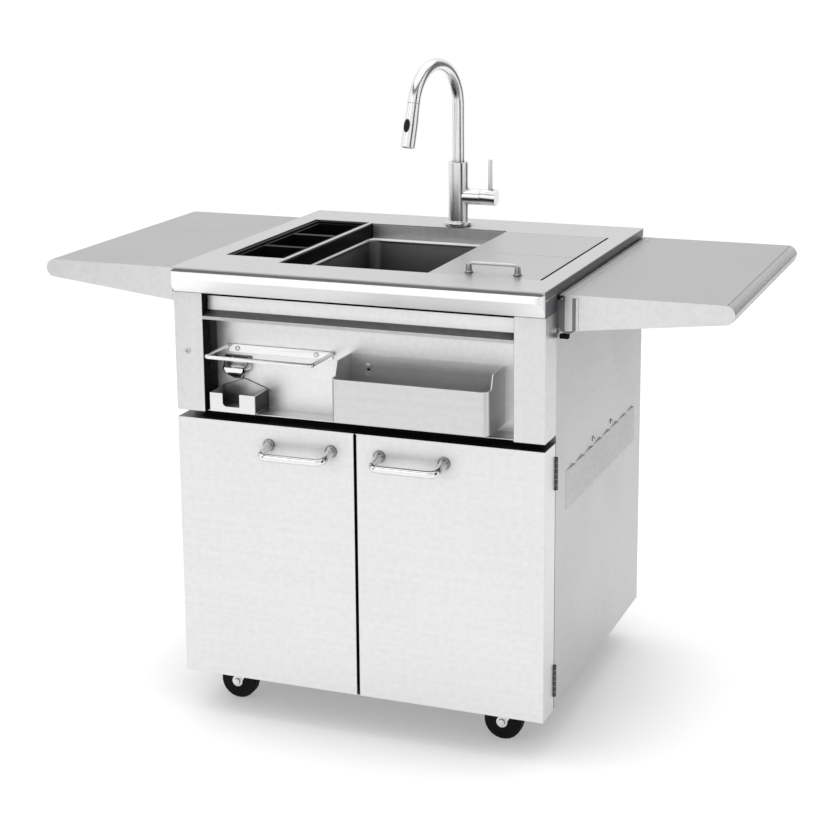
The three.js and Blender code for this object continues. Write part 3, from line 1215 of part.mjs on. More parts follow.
/** Oval through the side of the head, from `deep` under its skin to `proud` above it. */
function buttonSolid(deep, proud, grow) {
  const shape = new THREE.Shape();
  const [a, b] = [BUTTON_WIDTH / 2 + grow, BUTTON_LENGTH / 2 + grow];
  shape.absellipse(0, 0, a, b, 0, 2 * Math.PI, false, 0);
  const geometry = extruded(shape, deep + proud, 5);
  geometry.rotateX(-Math.PI / 2).translate(0, HEAD_RADIUS - deep, HEAD_LENGTH - BUTTON_FROM_END);
  return solid(geometry);
}

function sprayButton() {
  return placed(buttonSolid(BUTTON_DEEP, BUTTON_PROUD, 0), neckEnd(NECK_TAIL));
}

/** The stretch of the spray's hose that bridges the neck and the head. */
function sprayHose() {
  return placed(rod(HOSE_RADIUS, 0, 0, -HOSE_IN_NECK, HOSE_IN_HEAD, 12), neckEnd(NECK_TAIL));
}

/** Nut that clamps the tap under the deck. */
function tapNut() {
  return cut(
    rod(TAP_NUT_RADIUS, TAP_X, TAP_Y, UNDER_DECK - TAP_NUT_THICK, UNDER_DECK, 6),
    rod(TAP_SHANK_RADIUS + SEAT, TAP_X, TAP_Y, UNDER_DECK - TAP_NUT_THICK - 1, UNDER_DECK + 1),
  );
}

/** A water hose: from under the tap's shank to its bored stub through the back panel. */
function supplyHose(side, x1) {
  const start = COUNTER_HEIGHT - TAP_SHANK_LENGTH - SEAT;
  const x0 = TAP_X + side * (HOSE_LINE_RADIUS + 2);
  const end = CABINET_DEPTH - SHEET - SEAT - INLET_LENGTH;
  const slack = 40;
  const path = new THREE.CatmullRomCurve3([
    new THREE.Vector3(x0, TAP_Y, start + slack),
    new THREE.Vector3(x0, TAP_Y, start - slack),
    new THREE.Vector3((x0 + x1) / 2, TAP_Y - slack / 2, (start + INLET_Z) / 2),
    new THREE.Vector3(x1, end - 1.5 * slack, INLET_Z + slack / 2),
    new THREE.Vector3(x1, end - slack / 2, INLET_Z),
    new THREE.Vector3(x1, end + 1, INLET_Z),
  ], false, 'centripetal');
  const above = box(x0 - slack, x0 + slack, TAP_Y - slack, TAP_Y + slack, start, start + 2 * slack);
  return join(cut(tube(path, HOSE_LINE_RADIUS, 18, 8), above), waterInlet(x1));
}

/** Stub through the back panel, bored, with a nut inside and a flange behind the panel. */
function waterInlet(x) {
  const inside = CABINET_DEPTH - SHEET - SEAT;
  const outside = CABINET_DEPTH + SEAT;
  const grip = INLET_RADIUS + INLET_FLANGE;
  return cut(
    join(
      rodY(INLET_RADIUS, inside - INLET_LENGTH, BACK_OF_BODY, x, INLET_Z, 12),
      rodY(grip, outside, outside + INLET_FLANGE, x, INLET_Z, 12),
      rodY(grip, inside - INLET_LENGTH / 2, inside, x, INLET_Z, 6),
    ),
    rodY(INLET_BORE, BACK_OF_BODY - INLET_LENGTH, BACK_OF_BODY + 1, x, INLET_Z, 8),
  );
}

// ---------------------------------------------------------------- casters (about the swivel axis)
function casterPlate() {
  const top = CASTER_HEIGHT - SEAT;
  const plate = CASTER_PLATE / 2;
  const race = top - CASTER_PLATE_THICK;
  return join(
    box(-plate, plate, -plate, plate, race, top),
    rod(RACE_RADIUS, 0, 0, race - RACE_HEIGHT, race + 1, 16),
  );
}

/** Fork with its crown, legs and axle. The wheel trails towards -X. */
function casterFork() {
  const crownTop = CASTER_HEIGHT - 2 * SEAT - CASTER_PLATE_THICK - RACE_HEIGHT;
  const crownBottom = crownTop - CROWN_THICK;
  const inside = WHEEL_WIDTH / 2 + 2 * SEAT + 1;
  const outside = inside + FORK_LEG_THICK;
  const eye = FORK_EYE_RADIUS;
  const leg = new THREE.Shape();
  leg.moveTo(CROWN_RADIUS, crownTop);
  leg.lineTo(-CROWN_RADIUS, crownTop);
  leg.lineTo(-CASTER_TRAIL - eye, WHEEL_RADIUS);
  leg.absarc(-CASTER_TRAIL, WHEEL_RADIUS, eye, Math.PI, 1.8 * Math.PI, false);
  const sides = [
    alongY(leg, inside, outside, 5),
    alongY(leg, -outside, -inside, 5),
  ];
  const bridge = box(-CROWN_RADIUS + 4, CROWN_RADIUS - 6, -outside, outside, crownBottom, crownTop);
  const axle = rodY(AXLE_RADIUS, -outside - NUT_THICK, outside + NUT_THICK, -CASTER_TRAIL, WHEEL_RADIUS, 10);
  const nut = (y) => rodY(NUT_RADIUS, y, y + NUT_THICK, -CASTER_TRAIL, WHEEL_RADIUS, 6);
  const crown = rod(CROWN_RADIUS, 0, 0, crownBottom, crownTop, 16);
  return join(crown, bridge, ...sides, axle, nut(outside - 0.5), nut(0.5 - outside - NUT_THICK));
}

/** Wheel: rounded tread, dished faces and a hub that meets the fork. */
function casterWheel() {
  const half = WHEEL_WIDTH / 2;
  const bore = AXLE_RADIUS + SEAT;
  const hub = half + 1;
  const r = WHEEL_RADIUS / Math.cos(Math.PI / WHEEL_FACETS);
  const dish = r * 0.7;
  const profile = [
    [bore, -hub], [HUB_RADIUS, -hub], [dish, WHEEL_DISH - half], [r - WHEEL_DISH, -half], [r, 4 - half],
    [r, half - 4], [r - WHEEL_DISH, half], [dish, half - WHEEL_DISH], [HUB_RADIUS, hub], [bore, hub],
  ];
  const points = [...profile, profile[0]].map(([u, v]) => new THREE.Vector2(u, v));
  const wheel = new THREE.LatheGeometry(points, WHEEL_FACETS);
  return solid(wheel.rotateY(Math.PI / WHEEL_FACETS));
}

// ---------------------------------------------------------------- assembly
const assembly = new THREE.Group();

/** A named mesh standing at a place of its own. */
function standing(name, body, material, x, y, z) {
  const mesh = piece(name, body, material);
  mesh.position.set(x, y, z);
  return mesh;
}

function addCabinet() {
  assembly.add(
    piece('side_panel_right', sidePanel(), STEEL),
    piece('side_panel_left', mirrored(sidePanel()), STEEL),
    piece('floor_panel', floorPanel(), STEEL),
    piece('back_panel', backPanel(), STEEL),
    piece('face_frame', faceFrame(), DARK_STEEL),
    piece('front_post_right', frontPost(), STEEL),
    piece('front_post_left', mirrored(frontPost()), STEEL),
    piece('front_apron', frontApron(), STEEL),
    piece('front_fascia', frontFascia(), STEEL),
  );
}

function addWorktop() {
  assembly.add(
    piece('worktop', worktop(), STEEL),
    piece('sink_basin', sinkBasin(), STEEL),
    piece('splash_guard', splashGuard(), BLACK_PLASTIC),
    standing('sink_drain', sinkDrain(), CHROME, DRAIN_X, DRAIN_Y, 0),
    standing('sink_strainer', sinkStrainer(), CHROME, DRAIN_X, DRAIN_Y, 0),
    piece('waste_pipe', wastePipe(), BLACK_PLASTIC),
    piece('ice_bin_liner', iceBinLiner(), STEEL),
    piece('ice_bin_jacket', iceBinJacket(), FOAM),
    piece('ice_lid_front', iceLid(LID_FRONT_START, LID_FRONT_END), STEEL),
    piece('ice_lid_rear', iceLid(LID_FRONT_END + LID_SEAM, BIN_BACK - SEAT), STEEL),
    standing('ice_lid_handle', lidHandle(), CHROME, LID_HANDLE_X, LID_HANDLE_Y, COUNTER_HEIGHT + SEAT),
    piece('condiment_housing', condimentHousing(), BLACK_PLASTIC),
    ...PAN_NAMES.map((name, i) => piece(name, condimentPan(i), BLACK_PLASTIC)),
  );
}

function addRecess() {
  assembly.add(
    piece('towel_bar', towelBar(), CHROME),
    piece('bottle_opener', bottleOpener(), CHROME),
    piece('cap_catcher', capCatcher(), STEEL),
    piece('bottle_rail', bottleRail(), STEEL),
  );
}

function addDoors() {
  const middle = DOOR_X[0] + HANDLE_INSET + HANDLE_CENTRES / 2;
  assembly.add(
    piece('door_right_shell', doorShell(), STEEL),
    piece('door_right_liner', doorLiner(), STEEL),
    standing('door_right_handle', doorHandle(), CHROME, middle, 0, HANDLE_Z),
    piece('door_left_shell', mirrored(doorShell()), STEEL),
    piece('door_left_liner', mirrored(doorLiner()), STEEL),
    standing('door_left_handle', doorHandle(), CHROME, -middle, 0, HANDLE_Z),
  );
}

function addShelves() {
  assembly.add(
    piece('shelf_right', shelf(), STEEL),
    piece('shelf_left', mirrored(shelf()), STEEL),
    piece('shelf_bracket_right', shelfBracket(), STEEL),
    piece('shelf_bracket_left', mirrored(shelfBracket()), STEEL),
  );
}

function addTap() {
  const tap = new THREE.Group();
  const spout = new THREE.Group();
  tap.position.set(TAP_X, TAP_Y, COUNTER_HEIGHT);
  spout.rotation.z = THREE.MathUtils.degToRad(SPOUT_TURN);
  spout.add(
    piece('faucet_spout', tapNeck(), CHROME),
    piece('spray_hose', sprayHose(), HOSE),
    piece('spray_head', sprayHead(), CHROME),
    piece('spray_button', sprayButton(), BLACK_PLASTIC),
  );
  tap.add(
    piece('faucet_body', tapBody(), CHROME),
    piece('faucet_cap', tapCap(), CHROME),
    piece('faucet_lever', tapLever(), CHROME),
    spout,
  );
  assembly.add(
    tap,
    piece('faucet_nut', tapNut(), DARK_STEEL),
    piece('supply_hose_hot', supplyHose(-1, INLET_XS.hot), HOSE),
    piece('supply_hose_cold', supplyHose(1, INLET_XS.cold), HOSE),
  );
}

function addCasters() {
  const sides = [['left', -CASTER_X], ['right', CASTER_X]];
  const rows = [['front', CASTER_FRONT_Y], ['back', CABINET_DEPTH - CASTER_BACK_INSET]];
  for (const [row, y] of rows) {
    for (const [side, x] of sides) {
      const caster = new THREE.Group();
      caster.position.set(x, y, 0);
      caster.add(
        piece(`caster_plate_${row}_${side}`, casterPlate(), DARK_STEEL),
        piece(`caster_fork_${row}_${side}`, casterFork(), DARK_STEEL),
        standing(`caster_wheel_${row}_${side}`, casterWheel(), RUBBER, -CASTER_TRAIL, 0, WHEEL_RADIUS),
      );
      assembly.add(caster);
    }
  }
}

addCabinet();
addWorktop();
addRecess();
addDoors();
addShelves();
addTap();
addCasters();

const whole = new THREE.Box3().setFromObject(assembly);
assembly.position.set(0, -(whole.min.y + whole.max.y) / 2, 0);

export default assembly;
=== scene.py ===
"""Looks of an outdoor bar sink with an ice bin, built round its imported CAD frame.

Metres, +Z up, in the frame of the CAD. Each sub-assembly of the sink is a class: its sizes are
fields, and its methods build the surfaces with numpy and dress the CAD nodes. Places across and
up are the real ones; places along y count from the front faces of the doors, at FRONT.
"""

import logging
import math
from dataclasses import dataclass
from enum import Enum

import bmesh
import bpy
import numpy as np
from mathutils import Matrix, Vector


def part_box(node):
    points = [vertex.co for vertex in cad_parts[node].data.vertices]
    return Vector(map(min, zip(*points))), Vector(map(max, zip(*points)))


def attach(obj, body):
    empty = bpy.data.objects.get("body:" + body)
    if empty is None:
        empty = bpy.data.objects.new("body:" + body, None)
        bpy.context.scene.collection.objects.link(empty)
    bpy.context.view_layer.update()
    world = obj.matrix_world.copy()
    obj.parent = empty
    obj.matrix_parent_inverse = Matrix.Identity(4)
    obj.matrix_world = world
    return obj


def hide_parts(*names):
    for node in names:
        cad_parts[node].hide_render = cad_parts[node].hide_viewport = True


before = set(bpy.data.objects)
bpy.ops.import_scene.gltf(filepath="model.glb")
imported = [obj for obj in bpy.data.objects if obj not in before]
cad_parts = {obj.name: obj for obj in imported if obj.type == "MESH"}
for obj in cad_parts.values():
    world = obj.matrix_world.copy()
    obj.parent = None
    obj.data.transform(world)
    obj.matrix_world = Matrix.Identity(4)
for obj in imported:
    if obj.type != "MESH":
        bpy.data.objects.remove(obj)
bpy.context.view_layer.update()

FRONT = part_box("door_left_shell")[0][1]
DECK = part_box("worktop")[1][2]

logging.basicConfig(level=logging.INFO, format="%(message)s")
log = logging.getLogger("bar_sink")

Triple = tuple[float, float, float]
Profile = list[tuple[float, float]]

Span = tuple[float, float, float, float, float, float]
Socket = bpy.types.NodeSocket
Input = Socket | float | bool | str | tuple

NEAR_BLACK = (0.012, 0.012, 0.013, 1.0)
WHITE = (1.0, 1.0, 1.0, 1.0)
METAL_DUST = (0.55, 0.53, 0.5, 1.0)
BLACK_DUST = (0.16, 0.155, 0.15, 1.0)
ORIGIN = (0.0, 0.0, 0.0)
SIDES = (("left", -1), ("right", 1))
MERGE_DISTANCE = 1e-6
SHARP_EDGE = math.radians(35)
FOLD_EDGE = math.radians(40)
CORNER_POINTS = 8
PATH_STEP = 0.004
CROSS_HALF, CROSS_REACH, CROSS_DEPTH, HEAD_DOME = 0.16, 0.6, 0.6, 0.8
BROAD_GRAIN = 0.11
FINGER_SCALE, WEAR_SCALE, SPECK_SCALE = 55.0, 90.0, 140.0

X_AXIS = np.array([1.0, 0.0, 0.0])
Y_AXIS = np.array([0.0, 1.0, 0.0])
Z_AXIS = np.array([0.0, 0.0, 1.0])


# ---------------------------------------------------------------- surfaces
class Shell:
    """Surfaces on grids, gathered into one mesh."""

    def __init__(self) -> None:
        """Starts with no surface."""
        self.points: list[np.ndarray] = []
        self.quads: list[np.ndarray] = []
        self.uvs: list[np.ndarray] = []
        self.count = 0

    def add(self, grid: np.ndarray, loop: bool = True) -> "Shell":
        """Adds one surface.

        The quad (i, j) joins the grid's points (i, j), (i, j+1), (i+1, j+1) and (i+1, j).

        Args:
            grid: rows x columns x 3 points.
            loop: whether the last column joins the first.

        Returns:
            This shell, so that calls can be chained.
        """
        rows, columns = grid.shape[:2]
        index = self.count + np.arange(rows * columns).reshape(rows, columns)
        along, around = np.mgrid[0 : rows - 1, 0 : columns - 1 + loop]
        self.points.append(grid.reshape(-1, 3))
        self.count += rows * columns
        if loop:
            index = np.hstack([index, index[:, :1]])
        corners = [index[:-1, :-1], index[:-1, 1:], index[1:, 1:], index[1:, :-1]]
        self.quads.append(np.stack(corners, axis=-1).reshape(-1, 4))
        spans = [(0, 0), (0, 1), (1, 1), (1, 0)]
        u = np.stack([(around + a) / max(columns, 1) for _, a in spans], axis=-1)
        v = np.stack([(along + b) / max(rows - 1, 1) for b, _ in spans], axis=-1)
        self.uvs.append(np.stack([u, v], axis=-1).reshape(-1, 2))
        return self

    def turn(self, profile: np.ndarray, places: list, axis: np.ndarray, sides: int) -> "Shell":
        """Adds one turned profile at each of some places.

        Args:
            profile: n x 2 radii and heights along the axis.
            places: where the heights are 0.
            axis: unit vector of the axis.
            sides: points round the axis.

        Returns:
            This shell.
        """
        for place in places:
            self.add(turned(profile, place, axis, sides))
        return self

    def make(self, name: str) -> bpy.types.Object:
        """Makes the object: doubles merged, faces outwards, shaded smooth, at the origin.

        Args:
            name: the new object's name.

        Returns:
            The object, linked to the scene.
        """
        mesh = bpy.data.meshes.new(name)
        mesh.from_pydata(np.vstack(self.points), [], np.vstack(self.quads).tolist())
        layer = mesh.uv_layers.new(name="surface")
        layer.data.foreach_set("uv", np.vstack(self.uvs).astype(np.float32).ravel())
        tidy = bmesh.new()
        tidy.from_mesh(mesh)
        bmesh.ops.remove_doubles(tidy, verts=tidy.verts, dist=MERGE_DISTANCE)
        bmesh.ops.dissolve_degenerate(tidy, dist=1e-7, edges=tidy.edges)
        bmesh.ops.recalc_face_normals(tidy, faces=tidy.faces)
        tidy.to_mesh(mesh)
        tidy.free()
        mesh.shade_smooth()
        made = bpy.data.objects.new(name, mesh)
        bpy.context.scene.collection.objects.link(made)
        return made


def unit(vectors: np.ndarray) -> np.ndarray:
    """The same directions with length 1."""
    return vectors / np.linalg.norm(vectors, axis=-1, keepdims=True)


def round_turn(points: int) -> np.ndarray:
    """Angles at equal steps round a full turn."""
    return np.linspace(0, 2 * math.pi, points, endpoint=False)


def quarter_turns(points: int) -> np.ndarray:
    """Angles of four quarter turns, where each begins at the angle that the last one ends at."""
    quarter = np.linspace(0, math.pi / 2, points)
    return np.concatenate([quarter + k * math.pi / 2 for k in range(4)])


def frame_of(axis: np.ndarray) -> tuple[np.ndarray, np.ndarray]:
    """Two unit vectors square to a unit axis and to each other, with u x v = axis."""
    u = unit(np.cross(axis, X_AXIS if abs(axis[0]) < 0.9 else Y_AXIS))
    return u, np.cross(axis, u)


def filleted(corners: list, radius: float, steps: int = 4, share: float = 0.49) -> np.ndarray:
    """Rounds the inner corners of a polyline, in a plane or in space.

    A corner B between A and C becomes the curve (1-t)^2 P + 2 t (1-t) B + t^2 Q, where P and Q lie
    on BA and BC, the radius (or a share of the shorter side) away from B.

    Args:
        corners: the polyline's points.
        radius: how far from the corner the rounding starts.
        steps: points that replace each corner.
        share: the most of a side that one rounding may take.

    Returns:
        The rounded polyline, one row for each point.
    """
    line = np.array(corners, dtype=float)
    middle = line[1:-1]
    back, ahead = line[:-2] - middle, line[2:] - middle
    lengths = [np.linalg.norm(side, axis=1, keepdims=True) for side in (back, ahead)]
    reach = np.minimum(radius, share * np.minimum(*lengths))
    start = (middle + unit(back) * reach)[:, None]
    end = (middle + unit(ahead) * reach)[:, None]
    t = np.linspace(0, 1, steps)[None, :, None]
    rounded = (1 - t) ** 2 * start + 2 * t * (1 - t) * middle[:, None] + t**2 * end
    return np.vstack([line[:1], rounded.reshape(-1, line.shape[1]), line[-1:]])


def puck(radius: float, low: float, high: float, fillet: float, taper: float = 0.0) -> np.ndarray:
    """Profile of a short round thing between two heights, narrower at the top by a taper."""
    return filleted([(0, low), (radius, low), (radius - taper, high), (0, high)], fillet)


def turned(profile: np.ndarray, origin: Triple, axis: np.ndarray, sides: int = 48) -> np.ndarray:
    """A profile turned about an axis: P(i, t) = origin + h_i axis + r_i (cos t u + sin t v).

    Args:
        profile: n x 2 radii and heights along the axis.
        origin: the point where the height is 0.
        axis: unit vector of the axis.
        sides: points round the axis.

    Returns:
        The grid of points, n x sides x 3.
    """
    u, v = frame_of(axis)
    angle = round_turn(sides)[:, None]
    ring = np.cos(angle) * u + np.sin(angle) * v
    radius, height = np.asarray(profile, dtype=float).T
    return np.array(origin) + height[:, None, None] * axis + radius[:, None, None] * ring


def swept(
    path: np.ndarray, radii: float | np.ndarray, normal: np.ndarray, sides: int = 24
) -> np.ndarray:
    """A round section carried along a path in a plane, closed at both ends.

    P(i, t) = C_i + r_i (cos t n_i + sin t b), where b is the plane's normal and n_i = T_i x b, with
    T_i the path's direction at C_i. The first and the last ring shrink to a point.

    Args:
        path: n x 3 points in one plane.
        radii: the section's radius, one for all points or one for each.
        normal: unit vector square to the plane of the path.
        sides: points round the section.

    Returns:
        The grid of points, (n + 2) x sides x 3.
    """
    side = np.cross(unit(np.gradient(path, axis=0)), normal)
    angle = round_turn(sides)[None, :, None]
    ring = np.cos(angle) * side[:, None] + np.sin(angle) * normal
    grid = path[:, None] + np.broadcast_to(radii, len(path))[:, None, None] * ring
    ends = np.repeat(path[[0, -1], None], sides, axis=1)
    return np.concatenate([ends[:1], grid, ends[1:]])


def ringed(
    span: tuple[float, float, float, float], corner: float, height: float, radius: float
) -> np.ndarray:
    """A round section carried round a level rounded rectangle.

    The path takes a quarter circle about each inner corner, and P(i, t) = C_i + r (cos t n_i +
    sin t z), where n_i points away from the quarter circle's middle.

    Args:
        span: x0, x1, y0 and y1 of the rectangle.
        corner: radius of its corners.
        height: z of the path.
        radius: radius of the section.

    Returns:
        The grid of points; its last row repeats the first.
    """
    x0, x1, y0, y1 = span
    turn = quarter_turns(CORNER_POINTS)
    middle_x = np.repeat([x1 - corner, x0 + corner, x0 + corner, x1 - corner], CORNER_POINTS)
    middle_y = np.repeat([y1 - corner, y1 - corner, y0 + corner, y0 + corner], CORNER_POINTS)
    out = np.stack([np.cos(turn), np.sin(turn), 0 * turn], axis=1)
    line = np.stack([middle_x, middle_y, 0 * turn + height], axis=1) + corner * out
    angle = round_turn(12)[None, :, None]
    grid = line[:, None] + radius * (np.cos(angle) * out[:, None] + np.sin(angle) * Z_AXIS)
    return np.concatenate([grid, grid[:1]])


def rounded_path(corners: list[Triple], radius: float, steps: int = 10) -> np.ndarray:
    """A polyline in space with rounded inner corners, with points every few millimetres."""
    return resampled(filleted(corners, radius, steps, share=1.0), PATH_STEP)


def resampled(path: np.ndarray, spacing: float) -> np.ndarray:
    """Points at equal distances along a polyline.

    Args:
        path: n x 3 points.
        spacing: the wanted distance between points.

    Returns:
        m x 3 points on the same line.
    """
    steps = np.diff(distances(path), prepend=-1)
    path = path[steps > MERGE_DISTANCE / 1000]
    along = distances(path)
    places = np.linspace(0, along[-1], max(3, int(along[-1] / spacing)))
    return np.stack([np.interp(places, along, path[:, k]) for k in range(3)], axis=1)


def distances(path: np.ndarray) -> np.ndarray:
    """Distance along a polyline from its start to each of its points."""
    return np.concatenate([[0], np.cumsum(np.linalg.norm(np.diff(path, axis=0), axis=1))])


def soft_block(low: Triple, high: Triple, radius: float, steps: int = 4) -> np.ndarray:
    """A block with rounded edges.

    P = centre + s (half - r) + r d, where d runs over the unit sphere and s is the sign of d's
    octant, so that each eighth of a sphere sits in its own corner of the block.

    Args:
        low: lowest corner.
        high: highest corner.
        radius: radius of the edges.
        steps: points in a quarter turn.

    Returns:
        The grid of points.
    """
    low, high = np.array(low), np.array(high)
    centre, half = (low + high) / 2, (high - low) / 2 - radius
    quarter = np.linspace(0, math.pi / 2, steps)
    turn = quarter_turns(steps)
    sign_x = np.repeat([1, -1, -1, 1], steps)
    sign_y = np.repeat([1, 1, -1, -1], steps)
    rise = np.concatenate([quarter - math.pi / 2, quarter])[:, None]
    sign_z = np.repeat([-1, 1], steps)[:, None]
    x = sign_x * half[0] + radius * np.cos(rise) * np.cos(turn)
    y = sign_y * half[1] + radius * np.cos(rise) * np.sin(turn)
    z = sign_z * half[2] + radius * np.sin(rise) + 0 * turn
    body = np.stack([x, y, z], axis=-1)
    caps = body[[0, -1]] * np.array([0, 0, 1])
    return centre + np.concatenate([caps[:1], body, caps[1:]])


def pan_head(origin: Triple, axis: np.ndarray, radius: float, height: float) -> np.ndarray:
    """A pan-head screw with a cross recess, as heights over a disc.

    h(r, t) = height sqrt(1 - 0.8 (r/R)^2), less 0.6 height inside the cross |x| < 0.16 R or
    |y| < 0.16 R with r < 0.6 R, and 0 at the rim.

    Args:
        origin: middle of the seat.
        axis: unit vector out of the seat.
        radius: radius of the head, R.
        height: height of the head.

    Returns:
        The grid of points.
    """
    u, v = frame_of(axis)
    share = np.array([0, 0.1, 0.2, 0.35, 0.5, 0.58, 0.66, 0.8, 0.92, 1.0, 1.0, 0.0])
    angle = round_turn(32)
    x = share[:, None] * np.cos(angle)
    y = share[:, None] * np.sin(angle)
    rise = height * np.sqrt(1 - HEAD_DOME * share[:, None] ** 2) + 0 * x
    cross = (np.minimum(np.abs(x), np.abs(y)) < CROSS_HALF) & (share[:, None] < CROSS_REACH)
    rise = rise - CROSS_DEPTH * height * cross
    rise[-2:] = 0
    across = radius * (x[..., None] * u + y[..., None] * v)
    return np.array(origin) + across + rise[..., None] * axis


def both_sides(*span: float) -> tuple[Span, Span]:
    """A span of a block on the right, x0 to z1, and its mirror image on the left."""
    x0, x1, *rest = span
    return (-x0, -x1, *rest), (x0, x1, *rest)


# ---------------------------------------------------------------- shader node groups
class Board:
    """A node tree, with short ways to add and join nodes."""

    def __init__(self, tree: bpy.types.NodeTree) -> None:
        """Takes an empty node tree."""
        self.tree = tree

    @classmethod
    def of(cls, owner: bpy.types.Material | bpy.types.World) -> "Board":
        """The emptied node tree of a material or a world.

        Args:
            owner: the material or the world.

        Returns:
            Its board.
        """
        owner.use_nodes = True
        owner.node_tree.nodes.clear()
        return cls(owner.node_tree)

    def add(self, kind: str, **settings: Input) -> bpy.types.Node:
        """Adds a node.

        Args:
            kind: Blender's name of the node's type, without ShaderNode where that is its start.
            settings: properties by name, or inputs as in_Name=value with _ for a space.

        Returns:
            The node.
        """
        whole = kind.startswith(("Node", "Shader", "Geometry", "Function"))
        node = self.tree.nodes.new(kind if whole else f"ShaderNode{kind}")
        for name, value in settings.items():
            if name.startswith("in_"):
                self.feed(node, name[3:].replace("_", " "), value)
            else:
                setattr(node, name, value)
        return node

    def feed(self, node: bpy.types.Node, name: str, value: Input) -> None:
        """Sets an input to a value, or joins it to a socket.

        Args:
            node: the node.
            name: the input's name or its number.
            value: the value or the socket.
        """
        socket = node.inputs[int(name)] if name.isdigit() else node.inputs[name]
        if isinstance(value, Socket):
            self.tree.links.new(value, socket)
        else:
            socket.default_value = value

    def noise(
        self, vector: Input, scale: Input, detail: float = 2.0, rough: float = 0.5
    ) -> Socket:
        """A noise texture's value, from 0 to 1."""
        node = self.add(
            "TexNoise", in_Vector=vector, in_Scale=scale, in_Detail=detail, in_Roughness=rough
        )
        return node.outputs["Fac"]

    def cells(self, vector: Input, scale: float) -> Socket:
        """Distance from the nearest of scattered points."""
        return self.add("TexVoronoi", in_Vector=vector, in_Scale=scale).outputs["Distance"]

    def span(
        self, value: Input, low: Input, high: Input, to_low: float = 0.0, to_high: float = 1.0
    ) -> Socket:
        """A value's span from low to high, carried to another span and clamped."""
        node = self.add(
            "MapRange", in_Value=value, in_From_Min=low, in_From_Max=high,
            in_To_Min=to_low, in_To_Max=to_high,
        )
        return node.outputs["Result"]

    def math(self, operation: str, a: Input, b: Input = 0.0) -> Socket:
        """A sum, product or other function of one or two values."""
        return self.add("Math", operation=operation, in_0=a, in_1=b).outputs["Value"]

    def times(self, a: Input, b: Input) -> Socket:
        """A product."""
        return self.math("MULTIPLY", a, b)

    def tint(self, factor: Input, a: Input, b: Input) -> Socket:
        """A colour between a and b."""
        return self.add("Mix", data_type="RGBA", in_0=factor, in_6=a, in_7=b).outputs[2]

    def facing_up(self) -> Socket:
        """The height of a face's unit normal: 1 where it looks up, -1 where it looks down."""
        normal = self.add("NewGeometry").outputs["Normal"]
        return self.add("SeparateXYZ", in_Vector=normal).outputs["Z"]

    def end(self, kind: str, surface: Socket) -> None:
        """Puts a surface out, to OutputMaterial or OutputWorld."""
        self.add(kind, in_Surface=surface)


def new_group(name: str, inputs: dict, *outputs: str) -> tuple[Board, list, bpy.types.Node]:
    """Starts a shader node group.

    Args:
        name: the group's name.
        inputs: default values by name; three numbers make a vector.
        outputs: names of the values that it puts out.

    Returns:
        Its board, its input sockets in their order, and its output node.
    """
    tree = bpy.data.node_groups.new(name, "ShaderNodeTree")
    for label, value in inputs.items():
        kind = "NodeSocketVector" if isinstance(value, tuple) else "NodeSocketFloat"
        socket = tree.interface.new_socket(label, in_out="INPUT", socket_type=kind)
        socket.default_value = value
    for label in outputs:
        tree.interface.new_socket(label, in_out="OUTPUT", socket_type="NodeSocketFloat")
    board = Board(tree)
    start = board.add("NodeGroupInput")
    return board, [start.outputs[label] for label in inputs], board.add("NodeGroupOutput")


def brush_grain_group() -> bpy.types.NodeTree:
    """Brushed lines: noise stretched along the brushing, as fine height and as broad streaks.

    Returns:
        The group.
    """
    inputs = {"Place": ORIGIN, "Stretch": (1.0, 1.0, 1.0)}
    board, (place, stretch), end = new_group("brush_grain", inputs, "Height", "Streaks")
    scaled = board.add("VectorMath", operation="MULTIPLY", in_0=place, in_1=stretch)
    fine = board.noise(scaled.outputs["Vector"], 1.0, detail=3.0, rough=0.65)
    broad = board.noise(scaled.outputs["Vector"], BROAD_GRAIN, detail=3.0, rough=0.6)
    board.feed(end, "Height", board.span(fine, 0.25, 0.75))
    board.feed(end, "Streaks", board.span(broad, 0.3, 0.7))
    return board.tree


def smudge_group() -> bpy.types.NodeTree:
    """Wiped patches and finger marks: two sizes of cloudy noise, kept where they are strong.

    Returns:
        The group.
    """
    inputs = {"Place": ORIGIN, "Scale": 6.0, "Amount": 0.5}
    board, (place, scale, amount), end = new_group("smudges", inputs, "Mask")
    patch = board.span(board.noise(place, scale, detail=4.0), 0.45, 0.75)
    marks = board.span(board.noise(place, FINGER_SCALE, detail=5.0, rough=0.7), 0.55, 0.8)
    both = board.math("ADD", patch, board.times(marks, patch))
    board.feed(end, "Mask", board.times(both, amount))
    return board.tree


def edge_wear_group() -> bpy.types.NodeTree:
    """Edges polished by use: how open a point is from inside the metal, broken up by noise.

    Returns:
        The group.
    """
    inputs = {"Place": ORIGIN, "Width": 0.002, "Amount": 0.5}
    board, (place, width, amount), end = new_group("edge_wear", inputs, "Mask")
    near = board.add("AmbientOcclusion", inside=True, samples=4, in_Distance=width)
    edge = board.span(near.outputs["AO"], 0.85, 0.35)
    broken = board.span(board.noise(place, WEAR_SCALE, detail=4.0), 0.35, 0.6)
    board.feed(end, "Mask", board.times(board.times(edge, broken), amount))
    return board.tree


def dust_group() -> bpy.types.NodeTree:
    """Dust where a face looks up: the height of its normal, times speckled noise.

    Returns:
        The group.
    """
    board, (place, amount), end = new_group("dust", {"Place": ORIGIN, "Amount": 0.3}, "Mask")
    specks = board.span(board.noise(place, SPECK_SCALE, detail=6.0, rough=0.75), 0.4, 0.75)
    lying = board.times(board.span(board.facing_up(), 0.2, 0.95), specks)
    board.feed(end, "Mask", board.times(lying, amount))
    return board.tree


